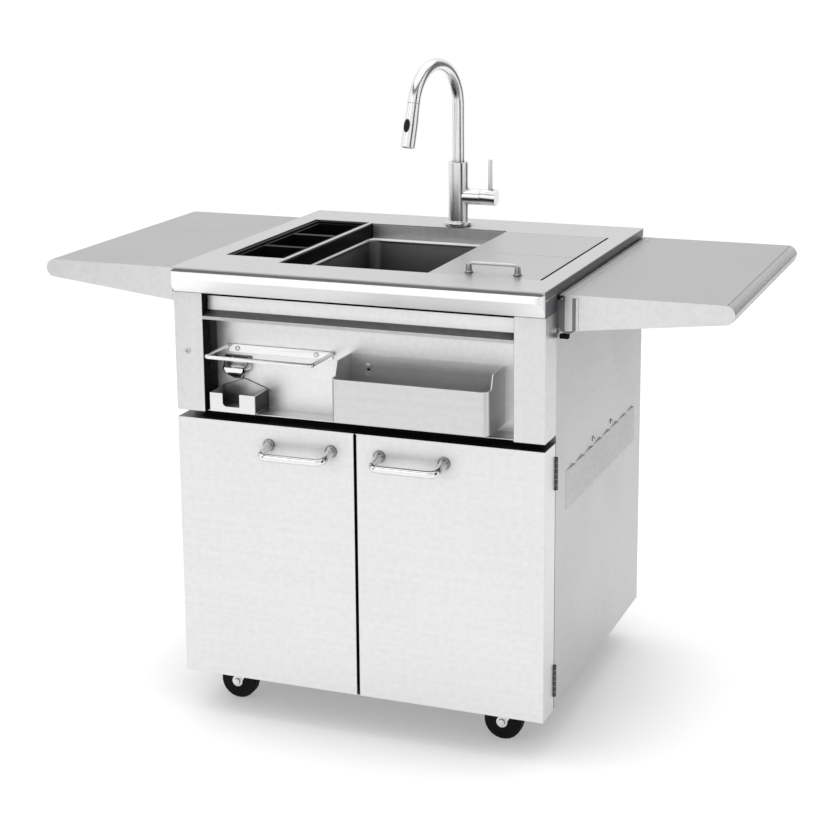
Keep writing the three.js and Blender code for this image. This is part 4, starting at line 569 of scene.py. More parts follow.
def painted_shade_group() -> bpy.types.NodeTree:
    """Painted shade in hollows: how closed in a point is by the walls within a reach, as a mask
    that darkens the colour.

    Returns:
        The group.
    """
    inputs = {"Reach": 0.05, "Open": 0.92, "Closed": 0.3, "Amount": 0.8}
    board, (reach, open_at, closed_at, amount), end = new_group("painted_shade", inputs, "Mask")
    near = board.add("AmbientOcclusion", samples=8, in_Distance=reach)
    closed = board.span(near.outputs["AO"], open_at, closed_at)
    board.feed(end, "Mask", board.times(closed, amount))
    return board.tree


def facing_shade_group() -> bpy.types.NodeTree:
    """Painted shade by which way a face lies: masks for faces that look up and faces that look
    down, which darken their colour.

    Returns:
        The group.
    """
    inputs = {"Up Amount": 0.2, "Down Amount": 0.4}
    board, (up_amount, down_amount), end = new_group("lie", inputs, "Up", "Down")
    height = board.facing_up()
    board.feed(end, "Up", board.times(board.span(height, 0.7, 0.97), up_amount))
    board.feed(end, "Down", board.times(board.span(height, -0.15, -0.6), down_amount))
    return board.tree


class Effects:
    """The shared node groups, each built once."""

    groups: dict[str, bpy.types.NodeTree] = {}
    makers = {
        "brush_grain": brush_grain_group, "smudges": smudge_group, "edge_wear": edge_wear_group,
        "dust": dust_group, "painted_shade": painted_shade_group, "lie": facing_shade_group,
    }

    @classmethod
    def use(cls, board: Board, name: str, **inputs: Input) -> bpy.types.Node:
        """Places a shared group in a material, on Object coordinates.

        Args:
            board: the material's board.
            name: the group's name, one of the makers'.
            inputs: the group's inputs by name.

        Returns:
            The group node.
        """
        if name not in cls.groups:
            cls.groups[name] = cls.makers[name]()
        node = board.add("Group", node_tree=cls.groups[name])
        for label, value in inputs.items():
            board.feed(node, label, value)
        return node


class Coat(Board):
    """The board of a new material, with its shader and Object coordinates."""

    def __init__(self, name: str, colour: Triple) -> None:
        """Makes the material with one shader.

        Args:
            name: the material's name.
            colour: its colour in the viewport.
        """
        self.material = bpy.data.materials.new(name)
        self.material.diffuse_color = (*colour, 1.0)
        super().__init__(Board.of(self.material).tree)
        self.shader = self.add("BsdfPrincipled")
        self.end("OutputMaterial", self.shader.outputs["BSDF"])
        self.place = self.add("TexCoord").outputs["Object"]

    def mask(self, name: str, **inputs: Input) -> Socket:
        """Places a shared group, on Object coordinates where it takes a place.

        Args:
            name: the group's name.
            inputs: its inputs by name.

        Returns:
            Its mask.
        """
        node = Effects.use(self, name, **inputs)
        if "Place" in node.inputs:
            self.feed(node, "Place", self.place)
        return node.outputs["Mask"]

    def set(self, **inputs: Input) -> None:
        """Sets or joins the shader's inputs, given with _ for a space."""
        for name, value in inputs.items():
            self.feed(self.shader, name.replace("_", " "), value)

    def roughen(self, base: Input, *layers: tuple[Socket, float]) -> None:
        """Sets the roughness.

        Args:
            base: the roughness under the layers.
            layers: a mask and the share of it that is added, for each layer.
        """
        for mask, share in layers:
            base = self.math("ADD", base, self.times(mask, share))
        self.set(Roughness=base)

    def relief(self, height: Socket, strength: float, distance: float) -> None:
        """Gives the shader a bump from a height."""
        bump = self.add("Bump", in_Strength=strength, in_Distance=distance, in_Height=height)
        self.set(Normal=bump.outputs["Normal"])


# ---------------------------------------------------------------- finishes
class Grain(Enum):
    """Direction of the brushing: how many waves of grain a metre holds along each axis."""

    ALONG_X = (5.0, 900.0, 900.0)
    ALONG_Y = (900.0, 5.0, 900.0)
    ALONG_Z = (900.0, 900.0, 5.0)
    NONE = (260.0, 260.0, 260.0)


@dataclass(frozen=True)
class Finish:
    """A finish: a material with its own name and a way to build it."""

    name: str
    colour: Triple
    roughness: float

    def rgba(self, share: float = 1.0) -> tuple[float, float, float, float]:
        """The colour, darker or lighter by a share, with alpha 1."""
        return (*(min(1.0, share * c) for c in self.colour), 1.0)

    def make(self) -> bpy.types.Material:
        """Builds the material; each kind of finish has its own way."""
        raise NotImplementedError


@dataclass(frozen=True)
class Steel(Finish):
    """Brushed stainless sheet: fine lines one way, soft streaks, wiped patches, bright edges, and
    painted shade on tops, undersides and hollows.
    """

    grain: Grain = Grain.ALONG_X
    wear: float = 0.5
    dust: float = 0.15
    depth: float = 0.12
    relief: float = 0.0004
    streaks: tuple = (0.965, 1.03)
    polish: float = 1.22
    dust_tint: float = 0.35
    spread: float = 0.03
    wiped: float = 0.09
    dusted: float = 0.15
    # reach, the amount after it, open_at and closed_at set the painted shade in hollows
    reach: float = 0.04
    hollow_shade: float = 0.85
    open_at: float = 0.92
    closed_at: float = 0.3
    # level: painted shade on faces that look up; under, below: painted shade on faces that look
    # down
    level: float = 0.1
    metal: float = 1.0
    under: float = 0.35

    def make(self) -> bpy.types.Material:
        """Builds the brushed metal.

        Returns:
            The material.
        """
        coat = Coat(self.name, self.colour)
        lines = Effects.use(coat, "brush_grain", Place=coat.place, Stretch=self.grain.value)
        wiped = coat.mask("smudges", Scale=5.0, Amount=0.5)
        edges = coat.mask("edge_wear", Width=0.0025, Amount=self.wear)
        dusty = coat.mask("dust", Amount=self.dust)
        deep = coat.mask(
            "painted_shade", Reach=self.reach, Open=self.open_at, Closed=self.closed_at, Amount=self.hollow_shade
        )
        lie = Effects.use(coat, "lie", **{"Up Amount": self.level, "Down Amount": self.under})
        streaks = lines.outputs["Streaks"]
        colour = coat.tint(streaks, *(self.rgba(share) for share in self.streaks))
        colour = coat.tint(edges, colour, self.rgba(self.polish))
        colour = coat.tint(coat.times(dusty, self.dust_tint), colour, METAL_DUST)
        # Painted shade: faces that look up, faces that look down and hollows are tinted towards
        # near black.
        for mask in (lie.outputs["Up"], lie.outputs["Down"], deep):
            colour = coat.tint(mask, colour, NEAR_BLACK)
        coat.set(Base_Color=colour, Metallic=self.metal)
        low, high = self.roughness - self.spread, self.roughness + self.spread
        rough = coat.span(streaks, 0, 1, low, high)
        coat.roughen(rough, (wiped, self.wiped), (dusty, self.dusted))
        coat.relief(lines.outputs["Height"], self.depth, self.relief)
        return coat.material


@dataclass(frozen=True)
class Polished(Finish):
    """Polished or cast chrome: almost a mirror, with faint waviness, water marks, worn edges and
    painted shade in hollows.
    """

    wave: float = 0.1
    wave_scale: float = 120.0
    relief: float = 0.0003
    cloud: tuple = (0.95, 1.03)
    cloud_scale: float = 35.0
    polish: float = 1.15
    wiped: float = 0.12
    marks: float = 0.4
    reach: float = 0.02
    hollow_shade: float = 0.8

    def make(self) -> bpy.types.Material:
        """Builds the plated metal.

        Returns:
            The material.
        """
        coat = Coat(self.name, self.colour)
        wiped = coat.mask("smudges", Scale=18.0, Amount=self.marks)
        edges = coat.mask("edge_wear", Width=0.0012, Amount=0.5)
        deep = coat.mask("painted_shade", Reach=self.reach, Amount=self.hollow_shade)
        cloud = coat.noise(coat.place, self.cloud_scale, detail=3.0)
        colour = coat.tint(cloud, *(self.rgba(share) for share in self.cloud))
        colour = coat.tint(edges, colour, self.rgba(self.polish))
        # Painted shade: hollows are tinted towards near black.
        coat.set(Base_Color=coat.tint(deep, colour, NEAR_BLACK), Metallic=1.0)
        coat.roughen(self.roughness, (wiped, self.wiped))
        coat.relief(coat.noise(coat.place, self.wave_scale), self.wave, self.relief)
        return coat.material


@dataclass(frozen=True)
class Moulded(Finish):
    """Moulded plastic or rubber: fine leathery texture, scuffed edges and a little dust."""

    texture: float = 900.0
    relief: float = 0.25
    relief_depth: float = 0.0003
    scuffs: float = 0.5
    scuff_tone: float = 2.6
    wiped: float = 0.18
    dust: float = 0.2
    shine: float = 0.5

    def make(self) -> bpy.types.Material:
        """Builds the moulded surface.

        Returns:
            The material.
        """
        coat = Coat(self.name, self.colour)
        edges = coat.mask("edge_wear", Width=0.002, Amount=self.scuffs)
        dusty = coat.mask("dust", Amount=self.dust)
        wiped = coat.mask("smudges", Scale=12.0, Amount=0.6)
        colour = coat.tint(edges, self.rgba(), self.rgba(self.scuff_tone))
        colour = coat.tint(dusty, colour, BLACK_DUST)
        coat.set(Base_Color=colour, Specular_IOR_Level=self.shine)
        coat.roughen(self.roughness, (wiped, self.wiped))
        coat.relief(coat.cells(coat.place, self.texture), self.relief, self.relief_depth)
        return coat.material


@dataclass(frozen=True)
class Foam(Finish):
    """Sprayed insulation: open pores in two sizes, with painted shade in their depths."""

    pores: float = 160.0
    finer: float = 3.4
    share: float = 0.4
    tones: tuple = (0.55, 1.1)
    roughest: float = 0.98

    def make(self) -> bpy.types.Material:
        """Builds the foam.

        Returns:
            The material.
        """
        coat = Coat(self.name, self.colour)
        small = coat.times(coat.cells(coat.place, self.finer * self.pores), self.share)
        height = coat.math("ADD", coat.cells(coat.place, self.pores), small)
        shade = coat.span(height, 0.1, 0.8)
        coat.set(Base_Color=coat.tint(shade, *(self.rgba(tone) for tone in self.tones)))
        coat.roughen(coat.span(shade, 0, 1, self.roughness, self.roughest))
        coat.relief(height, 0.7, 0.002)
        return coat.material


@dataclass(frozen=True)
class Braid(Finish):
    """Woven steel sleeve of a water hose: two sets of strands that cross, on the piece's UV map."""

    around: float = 10.0
    along: float = 60.0
    tones: tuple = (0.3, 1.1)
    wiped: float = 0.2
    metal: float = 0.85

    def make(self) -> bpy.types.Material:
        """Builds the braid from two sine waves that run round the hose in opposite senses.

        Returns:
            The material.
        """
        coat = Coat(self.name, self.colour)
        surface = coat.add("UVMap", uv_map="surface").outputs["UV"]
        split = coat.add("SeparateXYZ", in_Vector=surface)
        turn = coat.times(split.outputs["X"], self.around * 2 * math.pi)
        run = coat.times(split.outputs["Y"], self.along * 2 * math.pi)
        strands = [coat.math("SINE", coat.math(sign, turn, run)) for sign in ("ADD", "SUBTRACT")]
        weave = coat.span(coat.math("MAXIMUM", *strands), -0.6, 1.0)
        colour = coat.tint(weave, *(self.rgba(tone) for tone in self.tones))
        coat.set(Base_Color=colour, Metallic=self.metal)
        coat.roughen(self.roughness, (coat.mask("smudges", Scale=20.0, Amount=0.4), self.wiped))
        coat.relief(weave, 0.6, 0.0006)
        return coat.material


def grey(tone: float, blue: float = 0.0) -> Triple:
    """A grey, with a little more blue."""
    return (tone, tone, tone + blue)


# The steel finishes below are lit and shaded copies of one stainless steel: each grey is set by how
# light falls on the faces that wear it, brighter for faces in light and darker for faces in shade.
FRONT_STEEL = Steel("front_steel", grey(0.72), 0.36, under=0.0)
UPRIGHT_STEEL = Steel("upright_steel", grey(0.67), 0.36, Grain.ALONG_Z)
SIDE_STEEL = Steel("side_steel", grey(0.52), 0.38, Grain.ALONG_Y, hollow_shade=0.2)
# Painted shade on the louvres' outer faces.
LOUVRE_SHADE_STEEL = Steel("louvre_shade_steel", grey(0.46), 0.4, Grain.ALONG_Z, hollow_shade=0.1)
# Painted light: the apron's colour is raised to white to offset the shaded floor that it reflects.
APRON_LIT_STEEL = Steel("apron_lit_steel", grey(1.0), 0.55, wear=0.1, hollow_shade=0.3, under=0.0)
RECESS_STEEL = Steel("recess_steel", grey(0.77), 0.38, reach=0.03, hollow_shade=0.15, under=0.5)
# Painted light on the louvres' tops: bright and not metal, so that they read lit under the shelf.
LIT_CAP_STEEL = Steel("lit_cap_steel", grey(0.95), 0.6, Grain.NONE, level=0.0, hollow_shade=0.0, metal=0.0)
# Painted shade on the fascia's lip, which looks down, and on the shelves' inner strips.
LIP_SHADE_STEEL = Steel("lip_shade_steel", grey(0.46, 0.01), 0.4, level=0.0)
# Painted shade: dark lines and skins where seams, gaps and side faces lie in shade, and on the
# shelf brackets.
SHADE_LINE_STEEL = Steel("shade_line_steel", grey(0.2, 0.01), 0.4, hollow_shade=0.2, level=0.0, wear=0.2)
SHADE_STEEL = Steel("shade_steel", grey(0.06, 0.002), 0.45, level=0.0, wear=0.1)
CATCHER_STEEL = Steel("catcher_steel", grey(0.74), 0.34, reach=0.05)
RAIL_STEEL = Steel("rail_steel", grey(0.68), 0.34, reach=0.08, hollow_shade=0.12, metal=0.75)
DECK_STEEL = Steel("deck_steel", grey(0.67, 0.01), 0.34, dust=0.1, level=0.15, reach=0.02)
LID_STEEL = Steel("lid_steel", grey(0.62, 0.01), 0.34, dust=0.1, level=0.21, reach=0.02)
SHELF_STEEL = Steel("shelf_steel", grey(0.68), 0.38, Grain.ALONG_Y, level=0.36, under=0.7)
# A shaded copy of the steel with strong painted shade: the bowl is dark deep down and round its
# walls.
BOWL_STEEL = Steel(
    "bowl_steel", grey(0.42, 0.01), 0.42, wear=0.4, reach=0.3, hollow_shade=0.97, open_at=0.66,
    closed_at=0.32,
)
RIM_STEEL = Steel("rim_steel", grey(0.62, 0.01), 0.34, Grain.NONE, level=0.0, depth=0.05)
# Painted light on the bowl's ledge.
LEDGE_LIGHT_STEEL = Steel("ledge_light_steel", grey(0.9, 0.01), 0.4, level=0.0, hollow_shade=0.2, metal=0.15)
HINGE_STEEL = Steel("hinge_steel", grey(0.1), 0.5, Grain.NONE, level=0.0, metal=0.4)
# Painted light on the bowl's step wall, with painted shade in its hollows.
WALL_LIGHT_STEEL = Steel("wall_light_steel", grey(0.85, 0.01), 0.36, level=0.0, hollow_shade=0.55, reach=0.05)
# Painted shade: the floor panel and the face frame, seen in the dark inside of the cabinet.
INNER_SHADE_STEEL = Steel("dark_steel", grey(0.22, 0.01), 0.5, Grain.NONE, wear=0.3)
ZINC = Steel("zinc_plate", grey(0.62, 0.02), 0.32, Grain.NONE, depth=0.05)
FORK_ZINC = Steel("fork_zinc", grey(0.85, 0.01), 0.4, Grain.NONE, hollow_shade=0.6, depth=0.05)
# A darker copy of the chrome, as painted shade on the door pulls' foot rings and on the lid
# handle's posts.
POST_CHROME = Polished("post_chrome", grey(0.36, 0.01), 0.2)
BAR_CHROME = Polished("bar_chrome", grey(0.6, 0.01), 0.3)
CAST_CHROME = Polished("cast_chrome", grey(0.78, 0.01), 0.12, wave=0.2)
TAP_CHROME = Polished("tap_chrome", grey(0.8, 0.01), 0.2, wave=0.03, marks=0.3)
BLACK_PLASTIC = Moulded("black_plastic", grey(0.01, 0.001), 0.4, shine=0.2)
PAN_PLASTIC = Moulded(
    "pan_plastic", grey(0.006, 0.0005), 0.3, relief=0.1, scuffs=0.2, dust=0.04, shine=0.04
)
# Black rubber of the shelf bumpers, and also painted shade: dark strips in gaps, at the recess
# ends, along the doors' free edges and in the keyholes.
RUBBER_AND_SHADE = Moulded("rubber_and_painted_shade", grey(0.006), 0.7, scuffs=0.1, dust=0.05, shine=0.1)
TYRE = Moulded(
    "tyre_rubber", grey(0.008), 0.6, texture=1400.0, relief=0.35, dust=0.1, shine=0.15
)
INSULATION = Foam("insulation", (0.62, 0.58, 0.44), 0.9)
HOSE_BRAID = Braid("hose_braid", (0.6, 0.61, 0.62), 0.32)


class Wardrobe:
    """The built materials, one for each finish."""

    made: dict[str, bpy.types.Material] = {}

    @classmethod
    def get(cls, finish: Finish) -> bpy.types.Material:
        """The material of a finish, built the first time it is asked for.

        Args:
            finish: the finish.

        Returns:
            The material.
        """
        if finish.name not in cls.made:
            cls.made[finish.name] = finish.make()
        return cls.made[finish.name]


def smooth_by_angle_tree() -> bpy.types.NodeTree:
    """Geometry nodes that drop stored normals and shade smooth, but for sharp edges.

    Returns:
        The group.
    """
    tree = bpy.data.node_groups.new("shade_by_angle", "GeometryNodeTree")
    for way in ("INPUT", "OUTPUT"):
        tree.interface.new_socket("Geometry", in_out=way, socket_type="NodeSocketGeometry")
    board = Board(tree)
    start = board.add("NodeGroupInput").outputs[0]
    drop = board.add("GeometryNodeRemoveAttribute", in_Geometry=start, in_Name="custom_normal")
    faces = board.add("GeometryNodeSetShadeSmooth", in_Geometry=drop.outputs["Geometry"])
    angle = board.add("GeometryNodeInputMeshEdgeAngle").outputs["Unsigned Angle"]
    sharp = board.add("FunctionNodeCompare", operation="GREATER_THAN", in_A=angle, in_B=SHARP_EDGE)
    edges = board.add(
        "GeometryNodeSetShadeSmooth", domain="EDGE", in_Geometry=faces.outputs["Geometry"],
        in_Selection=sharp.outputs["Result"], in_Shade_Smooth=False,
    )
    board.add("NodeGroupOutput", in_0=edges.outputs["Geometry"])
    return tree


# ---------------------------------------------------------------- sub-assemblies
@dataclass
class SubAssembly:
    """A part of the sink, with what every part needs to dress nodes and add pieces."""

    title: str = ""
    fold_radius: float = 0.0009
    fold_segments: int = 2
    flat_weight: int = 100

    def dress(self, finish: Finish, *names: str, soften: bool = True) -> None:
        """Gives CAD nodes a finish, and small rounded edges.

        Args:
            finish: the finish.
            names: the nodes.
            soften: whether their edges are rounded.
        """
        for name in names:
            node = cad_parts[name]
            for slot in node.material_slots:
                slot.material = Wardrobe.get(finish)
            weld = node.modifiers.new("weld", "WELD")
            weld.merge_threshold = MERGE_DISTANCE
            if soften:
                bevel = node.modifiers.new("folds", "BEVEL")
                bevel.width = self.fold_radius
                bevel.segments = self.fold_segments
                bevel.limit_method = "ANGLE"
                bevel.angle_limit = FOLD_EDGE
            self.shade(node)
            log.info("%s: dressed %s in %s", self.title, name, finish.name)

    def shade(self, thing: bpy.types.Object) -> None:
        """Shades a mesh smooth but for its sharp edges, with its broad faces kept flat.

        Args:
            thing: the mesh's object.
        """
        tree = bpy.data.node_groups.get("shade_by_angle") or smooth_by_angle_tree()
        thing.modifiers.new("shading", "NODES").node_group = tree
        flat = thing.modifiers.new("flat_faces", "WEIGHTED_NORMAL")
        flat.mode = "FACE_AREA"
        flat.weight = self.flat_weight
        flat.keep_sharp = True

    def piece(
        self, name: str, shell: Shell, finish: Finish, body: str, slot: str, replaces: tuple = ()
    ) -> bpy.types.Object:
        """Makes a new piece of this sub-assembly.

        Args:
            name: the piece's name.
            shell: its surfaces.
            finish: its finish.
            body: the CAD body that it moves with.
            slot: the record's material slot that it stands for; not used.
            replaces: CAD nodes that it stands for.

        Returns:
            The object.
        """
        made = shell.make(name)
        made.data.materials.append(Wardrobe.get(finish))
        self.shade(made)
        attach(made, body)
        if replaces:
            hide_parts(*replaces)
        log.info("%s: made %s on %s", self.title, name, body)
        return made

    def blocks(
        self, name: str, spans: tuple[Span, ...], finish: Finish, body: str, slot: str,
        radius: float = 0.0002,
    ) -> None:
        """Makes a set of blocks with rounded edges as one piece.

        Args:
            name: the piece's name.
            spans: x0, x1, y0, y1, z0 and z1 of each, y from the doors' front.
            finish: its finish.
            body: the CAD body that it moves with.
            slot: the record's material slot that it stands for.
            radius: radius of the edges.
        """
        shell = Shell()
        for x0, x1, y0, y1, z0, z1 in spans:
            low, high = (min(x0, x1), FRONT + y0, z0), (max(x0, x1), FRONT + y1, z1)
            shell.add(soft_block(low, high, radius, 3))
        self.piece(name, shell, finish, body, slot)

    def screws(
        self, name: str, places: list[Triple], axis: np.ndarray, radius: float = 0.0042,
        height: float = 0.002,
    ) -> None:
        """Makes a set of pan-head screws in the fixed body as one piece.

        Args:
            name: the piece's name.
            places: middles of the seats, y from the doors' front.
            axis: unit vector out of the seats.
            radius: radius of the heads.
            height: height of the heads.
        """
        shell = Shell()
        for x, y, z in places:
            shell.add(pan_head((x, FRONT + y, z), axis, radius, height))
        self.piece(name, shell, ZINC, "root", "zinc_steel")


@dataclass
class Cabinet(SubAssembly):
    """Carcass: side panels with louvres, floor, back, face frame, posts, apron and fascia."""

    title: str = "cabinet"
    half_width: float = 0.375
    panel_screw_ys: tuple = (0.324, 0.457)
    panel_screw_z: float = 0.5535
    screw_radius: float = 0.0056
    screw_height: float = 0.003
    louvre_count: int = 8
    louvre_first: float = 0.135
    louvre_pitch: float = 0.063
    louvre_width: float = 0.054
    louvre_out: float = 0.004
    louvre_span: tuple = (0.4645, 0.5405)
    louvre_cap: float = 0.0009
    louvre_inset: float = 0.0002
    louvre_skin: float = 0.0004
    post_screw: tuple = (-0.3485, 0.748)
    post_inner: float = 0.315
    # Strips of painted shade: at the recess ends and under the apron, on the apron's ends, along
    # the nose, on the deck's sides and in the gaps by the shelves.
    trims: tuple = (
        ("recess_shade_strips", RUBBER_AND_SHADE, "black_plastic", (
            *both_sides(0.3149, 0.3144, 0.001, 0.030, 0.6305, 0.8640),
            (-0.315, 0.315, 0.0005, 0.0195, 0.8615, 0.8648),
        )),
        ("apron_end_shades", SHADE_LINE_STEEL, "cabinet_steel",
         both_sides(0.3746, 0.3752, -0.004, 0.0684, 0.8653, 0.8957)),
        ("nose_shade_line", SHADE_LINE_STEEL, "deck_steel",
         ((-0.371, 0.371, -0.0155, -0.0083, 0.9078, 0.9094),)),
        ("deck_side_shades", SHADE_LINE_STEEL, "deck_steel",
         both_sides(0.37505, 0.37535, -0.004, 0.693, 0.8975, 0.9125)),
        ("side_gap_shades", RUBBER_AND_SHADE, "black_plastic",
         both_sides(0.3752, 0.3784, 0.072, 0.688, 0.885, 0.894)),
    )
    hinge_x: float = 0.3755
    hinge_y: float = 0.0675
    hinge_zs: tuple = (0.145, 0.556)
    hinge_reach: float = 0.0265
    bush_radius: float = 0.00435
    bush_length: float = 0.0098
    bush_count: int = 6
    lip_section: tuple = (
        (0.0195, 0.8295), (-0.0002, 0.8203), (-0.0002, 0.8138), (0.0001, 0.8138),
        (0.0001, 0.8199), (0.0197, 0.8291),
    )
    back_screw_x: float = 0.362
    back_screw_zs: tuple = (0.16, 0.34, 0.52, 0.70, 0.86)

    def build(self) -> None:
        """Dresses the carcass and adds its strips of painted shade, screws and louvre faces."""
        self.dress(SIDE_STEEL, "side_panel_left", "side_panel_right", "back_panel")
        # The floor panel and the face frame are painted dark, as shade.
        self.dress(INNER_SHADE_STEEL, "floor_panel", "face_frame", soften=False)
        self.dress(UPRIGHT_STEEL, "front_post_left", "front_post_right")
        self.dress(APRON_LIT_STEEL, "front_apron")
        self.dress(RECESS_STEEL, "front_fascia")
        for name, finish, slot, spans in self.trims:
            self.blocks(name, spans, finish, "root", slot)
        self.fascia_lip_shade()
        self.hinge_bands()
        for side, sign in SIDES:
            places = [(sign * self.half_width, y, self.panel_screw_z) for y in self.panel_screw_ys]
            self.screws(
                f"panel_screws_{side}", places, sign * X_AXIS, self.screw_radius, self.screw_height
            )
            self.louvre_shaded_skins(side, sign)
        x, z = self.post_screw
        self.screws("post_screw", [(x, 0.0, z)], -Y_AXIS, self.screw_radius)
        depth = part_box("back_panel")[1][1] - FRONT
        places = [(s * self.back_screw_x, depth, z) for _, s in SIDES for z in self.back_screw_zs]
        self.screws("back_screws", places, Y_AXIS)

    def louvre_shaded_skins(self, side: str, sign: int) -> None:
        """Outer faces of the pressed louvres in painted shade, and their tops in painted light: a
        skin and a cap on each.

        Their points move out by t out (y - y0) / width, so that the back edge stands as far off
        the panel as the louvre does. A skin has t = 1; a cap's t runs from 0 on the panel to 1.

        Args:
            side: left or right.
            sign: side of the cabinet, -1 or 1.
        """
        (bottom, top), inset, rise = self.louvre_span, self.louvre_inset, self.louvre_cap
        inner, outer = self.half_width - self.louvre_skin, self.half_width + self.louvre_skin
        edge = outer - inset
        skins, caps = Shell(), Shell()
        for index in range(self.louvre_count):
            y0 = FRONT + self.louvre_first + index * self.louvre_pitch
            y1 = y0 + self.louvre_width
            skin = soft_block((inner, y0, bottom), (outer, y1, top), 0.0003, 3)
            cap = soft_block(
                (inner, y0 + inset, top - rise), (edge, y1 - inset, top + rise), inset, 3
            )
            shares = (1.0, (cap[..., 0] - inner) / (edge - inner))
            for shell, block, share in zip((skins, caps), (skin, cap), shares):
                block[..., 0] += share * self.louvre_out * (block[..., 1] - y0) / self.louvre_width
                shell.add(block * np.array([sign, 1, 1]))
        self.piece(f"louvre_shaded_skins_{side}", skins, LOUVRE_SHADE_STEEL, "root", "cabinet_steel")
        self.piece(f"louvre_lit_caps_{side}", caps, LIT_CAP_STEEL, "root", "cabinet_steel")

    def hinge_bands(self) -> None:
        """Black bushes between the hinges' knuckles: short turned sleeves on the pin's line."""
        profile = puck(self.bush_radius, -self.bush_length / 2, self.bush_length / 2, 0.0003)
        steps = self.hinge_reach * np.linspace(-1, 1, self.bush_count)
        zs = [middle + step for middle in self.hinge_zs for step in steps]
        places = [(sign * self.hinge_x, FRONT + self.hinge_y, z) for _, sign in SIDES for z in zs]
        shell = Shell().turn(profile, places, Z_AXIS, 20)
        self.piece("hinge_bushes", shell, HINGE_STEEL, "root", "black_plastic")

    def fascia_lip_shade(self) -> None:
        """Lip over the recess: a bent skin in painted shade over the fascia's sloped fold and its
        front face.

        A closed section in y and z is carried straight across: P(i, j) = (x_i, y_j, z_j).
        """
        section = np.array(self.lip_section)
        xs = np.array([-1, -1, 1, 1]) * self.post_inner
        middle = section.mean(axis=0) + 0 * section
        rings = np.array([middle, section, section, middle])
        grid = np.concatenate([xs[:, None, None] + 0 * rings[..., :1], rings], axis=-1)
        grid[..., 1] += FRONT
        self.piece("fascia_lip_shade", Shell().add(grid), LIP_SHADE_STEEL, "root", "cabinet_steel")


@dataclass
class Worktop(SubAssembly):
    """Deck, sink, ice bin with its lids, strainer, drain and waste pipe."""

    title: str = "worktop"
    handle_ends: tuple = (0.185, 0.281)
    handle_y: float = 0.125
    handle_height: float = 0.022
    handle_foot: float = 0.004
    handle_bend: float = 0.008
    bar_radius: float = 0.0032
    post_radius: float = 0.0062
    post_height: float = 0.017
    bowl: tuple = (-0.1885, 0.1055, 0.1035, 0.5475)
    bowl_corner: float = 0.016
    bead_z: float = 0.8818
    bead: float = 0.0045
    ledge_span: tuple = (-0.1925, 0.1125, 0.0965, 0.5715, 0.8816, 0.8824)
    step_wall_light: tuple = (0.5710, 0.5717, 0.9115)

    def build(self) -> None:
        """Dresses the deck and all that hangs in it, and makes the bead and the lid's handle."""
        self.dress(DECK_STEEL, "worktop")
        self.dress(LID_STEEL, "ice_lid_front", "ice_lid_rear")
        self.dress(BOWL_STEEL, "sink_basin", "ice_bin_liner", "sink_drain", "sink_strainer")
        self.dress(PAN_PLASTIC, "splash_guard")
        self.dress(BLACK_PLASTIC, "waste_pipe")
        self.dress(INSULATION, "ice_bin_jacket", soften=False)
        self.bowl_bead()
        self.lid_handle()

    def bowl_bead(self) -> None:
        """Rolled bead round the bowl's mouth, and skins of painted light on its ledge and step
        wall.
        """
        x0, x1, y0, y1 = self.bowl
        span = (x0, x1, FRONT + y0, FRONT + y1)
        shell = Shell().add(ringed(span, self.bowl_corner, self.bead_z, self.bead))
        self.piece("bowl_bead", shell, RIM_STEEL, "root", "bowl_steel")
        left, right, front, back, low, high = self.ledge_span
        plans = (
            (left, x0, front, back), (x1, right, front, back), (x0, x1, y1, back),
            (x0, x1, front, y0),
        )
        ledges = tuple((*plan, low, high) for plan in plans)
        self.blocks("bowl_ledge_light", ledges, LEDGE_LIGHT_STEEL, "root", "bowl_steel")
        near, far, top = self.step_wall_light
        wall = (left, right, near, far, high, top)
        self.blocks("step_wall_light", (wall,), WALL_LIGHT_STEEL, "root", "bowl_steel")

    def lid_handle(self) -> None:
        """Round bar on two turned posts, with rounded bends at its ends."""
        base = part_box("ice_lid_front")[1][2]
        y, foot = FRONT + self.handle_y, base + self.handle_foot
        bar_z = base + self.handle_height - self.bar_radius
        left, right = self.handle_ends
        corners = [(left, y, foot), (left, y, bar_z), (right, y, bar_z), (right, y, foot)]
        path = rounded_path(corners, self.handle_bend)
        bar = Shell().add(swept(path, self.bar_radius, Y_AXIS))
        self.piece(
            "ice_lid_bar", bar, BAR_CHROME, "ice_lid_front", "cast_chrome", ("ice_lid_handle",)
        )
        r, top = self.post_radius, self.post_height
        profile = filleted(
            [(0, 0), (r + 0.002, 0), (r + 0.002, 0.0018), (r, 0.004), (r * 0.85, top - 0.0005),
             (0.003, top), (0, top)], 0.0008,
        )
        posts = Shell().turn(profile, [(x, y, base) for x in self.handle_ends], Z_AXIS, 32)
        self.piece("ice_lid_posts", posts, POST_CHROME, "ice_lid_front", "cast_chrome")


@dataclass
class CondimentTray(SubAssembly):
    """Three black pans in the deck, in their tray."""

    title: str = "condiment tray"

    def build(self) -> None:
        """Dresses the tray and the three pans."""
        self.dress(
            PAN_PLASTIC, "condiment_housing", "condiment_pan_front", "condiment_pan_middle",
            "condiment_pan_rear",
        )


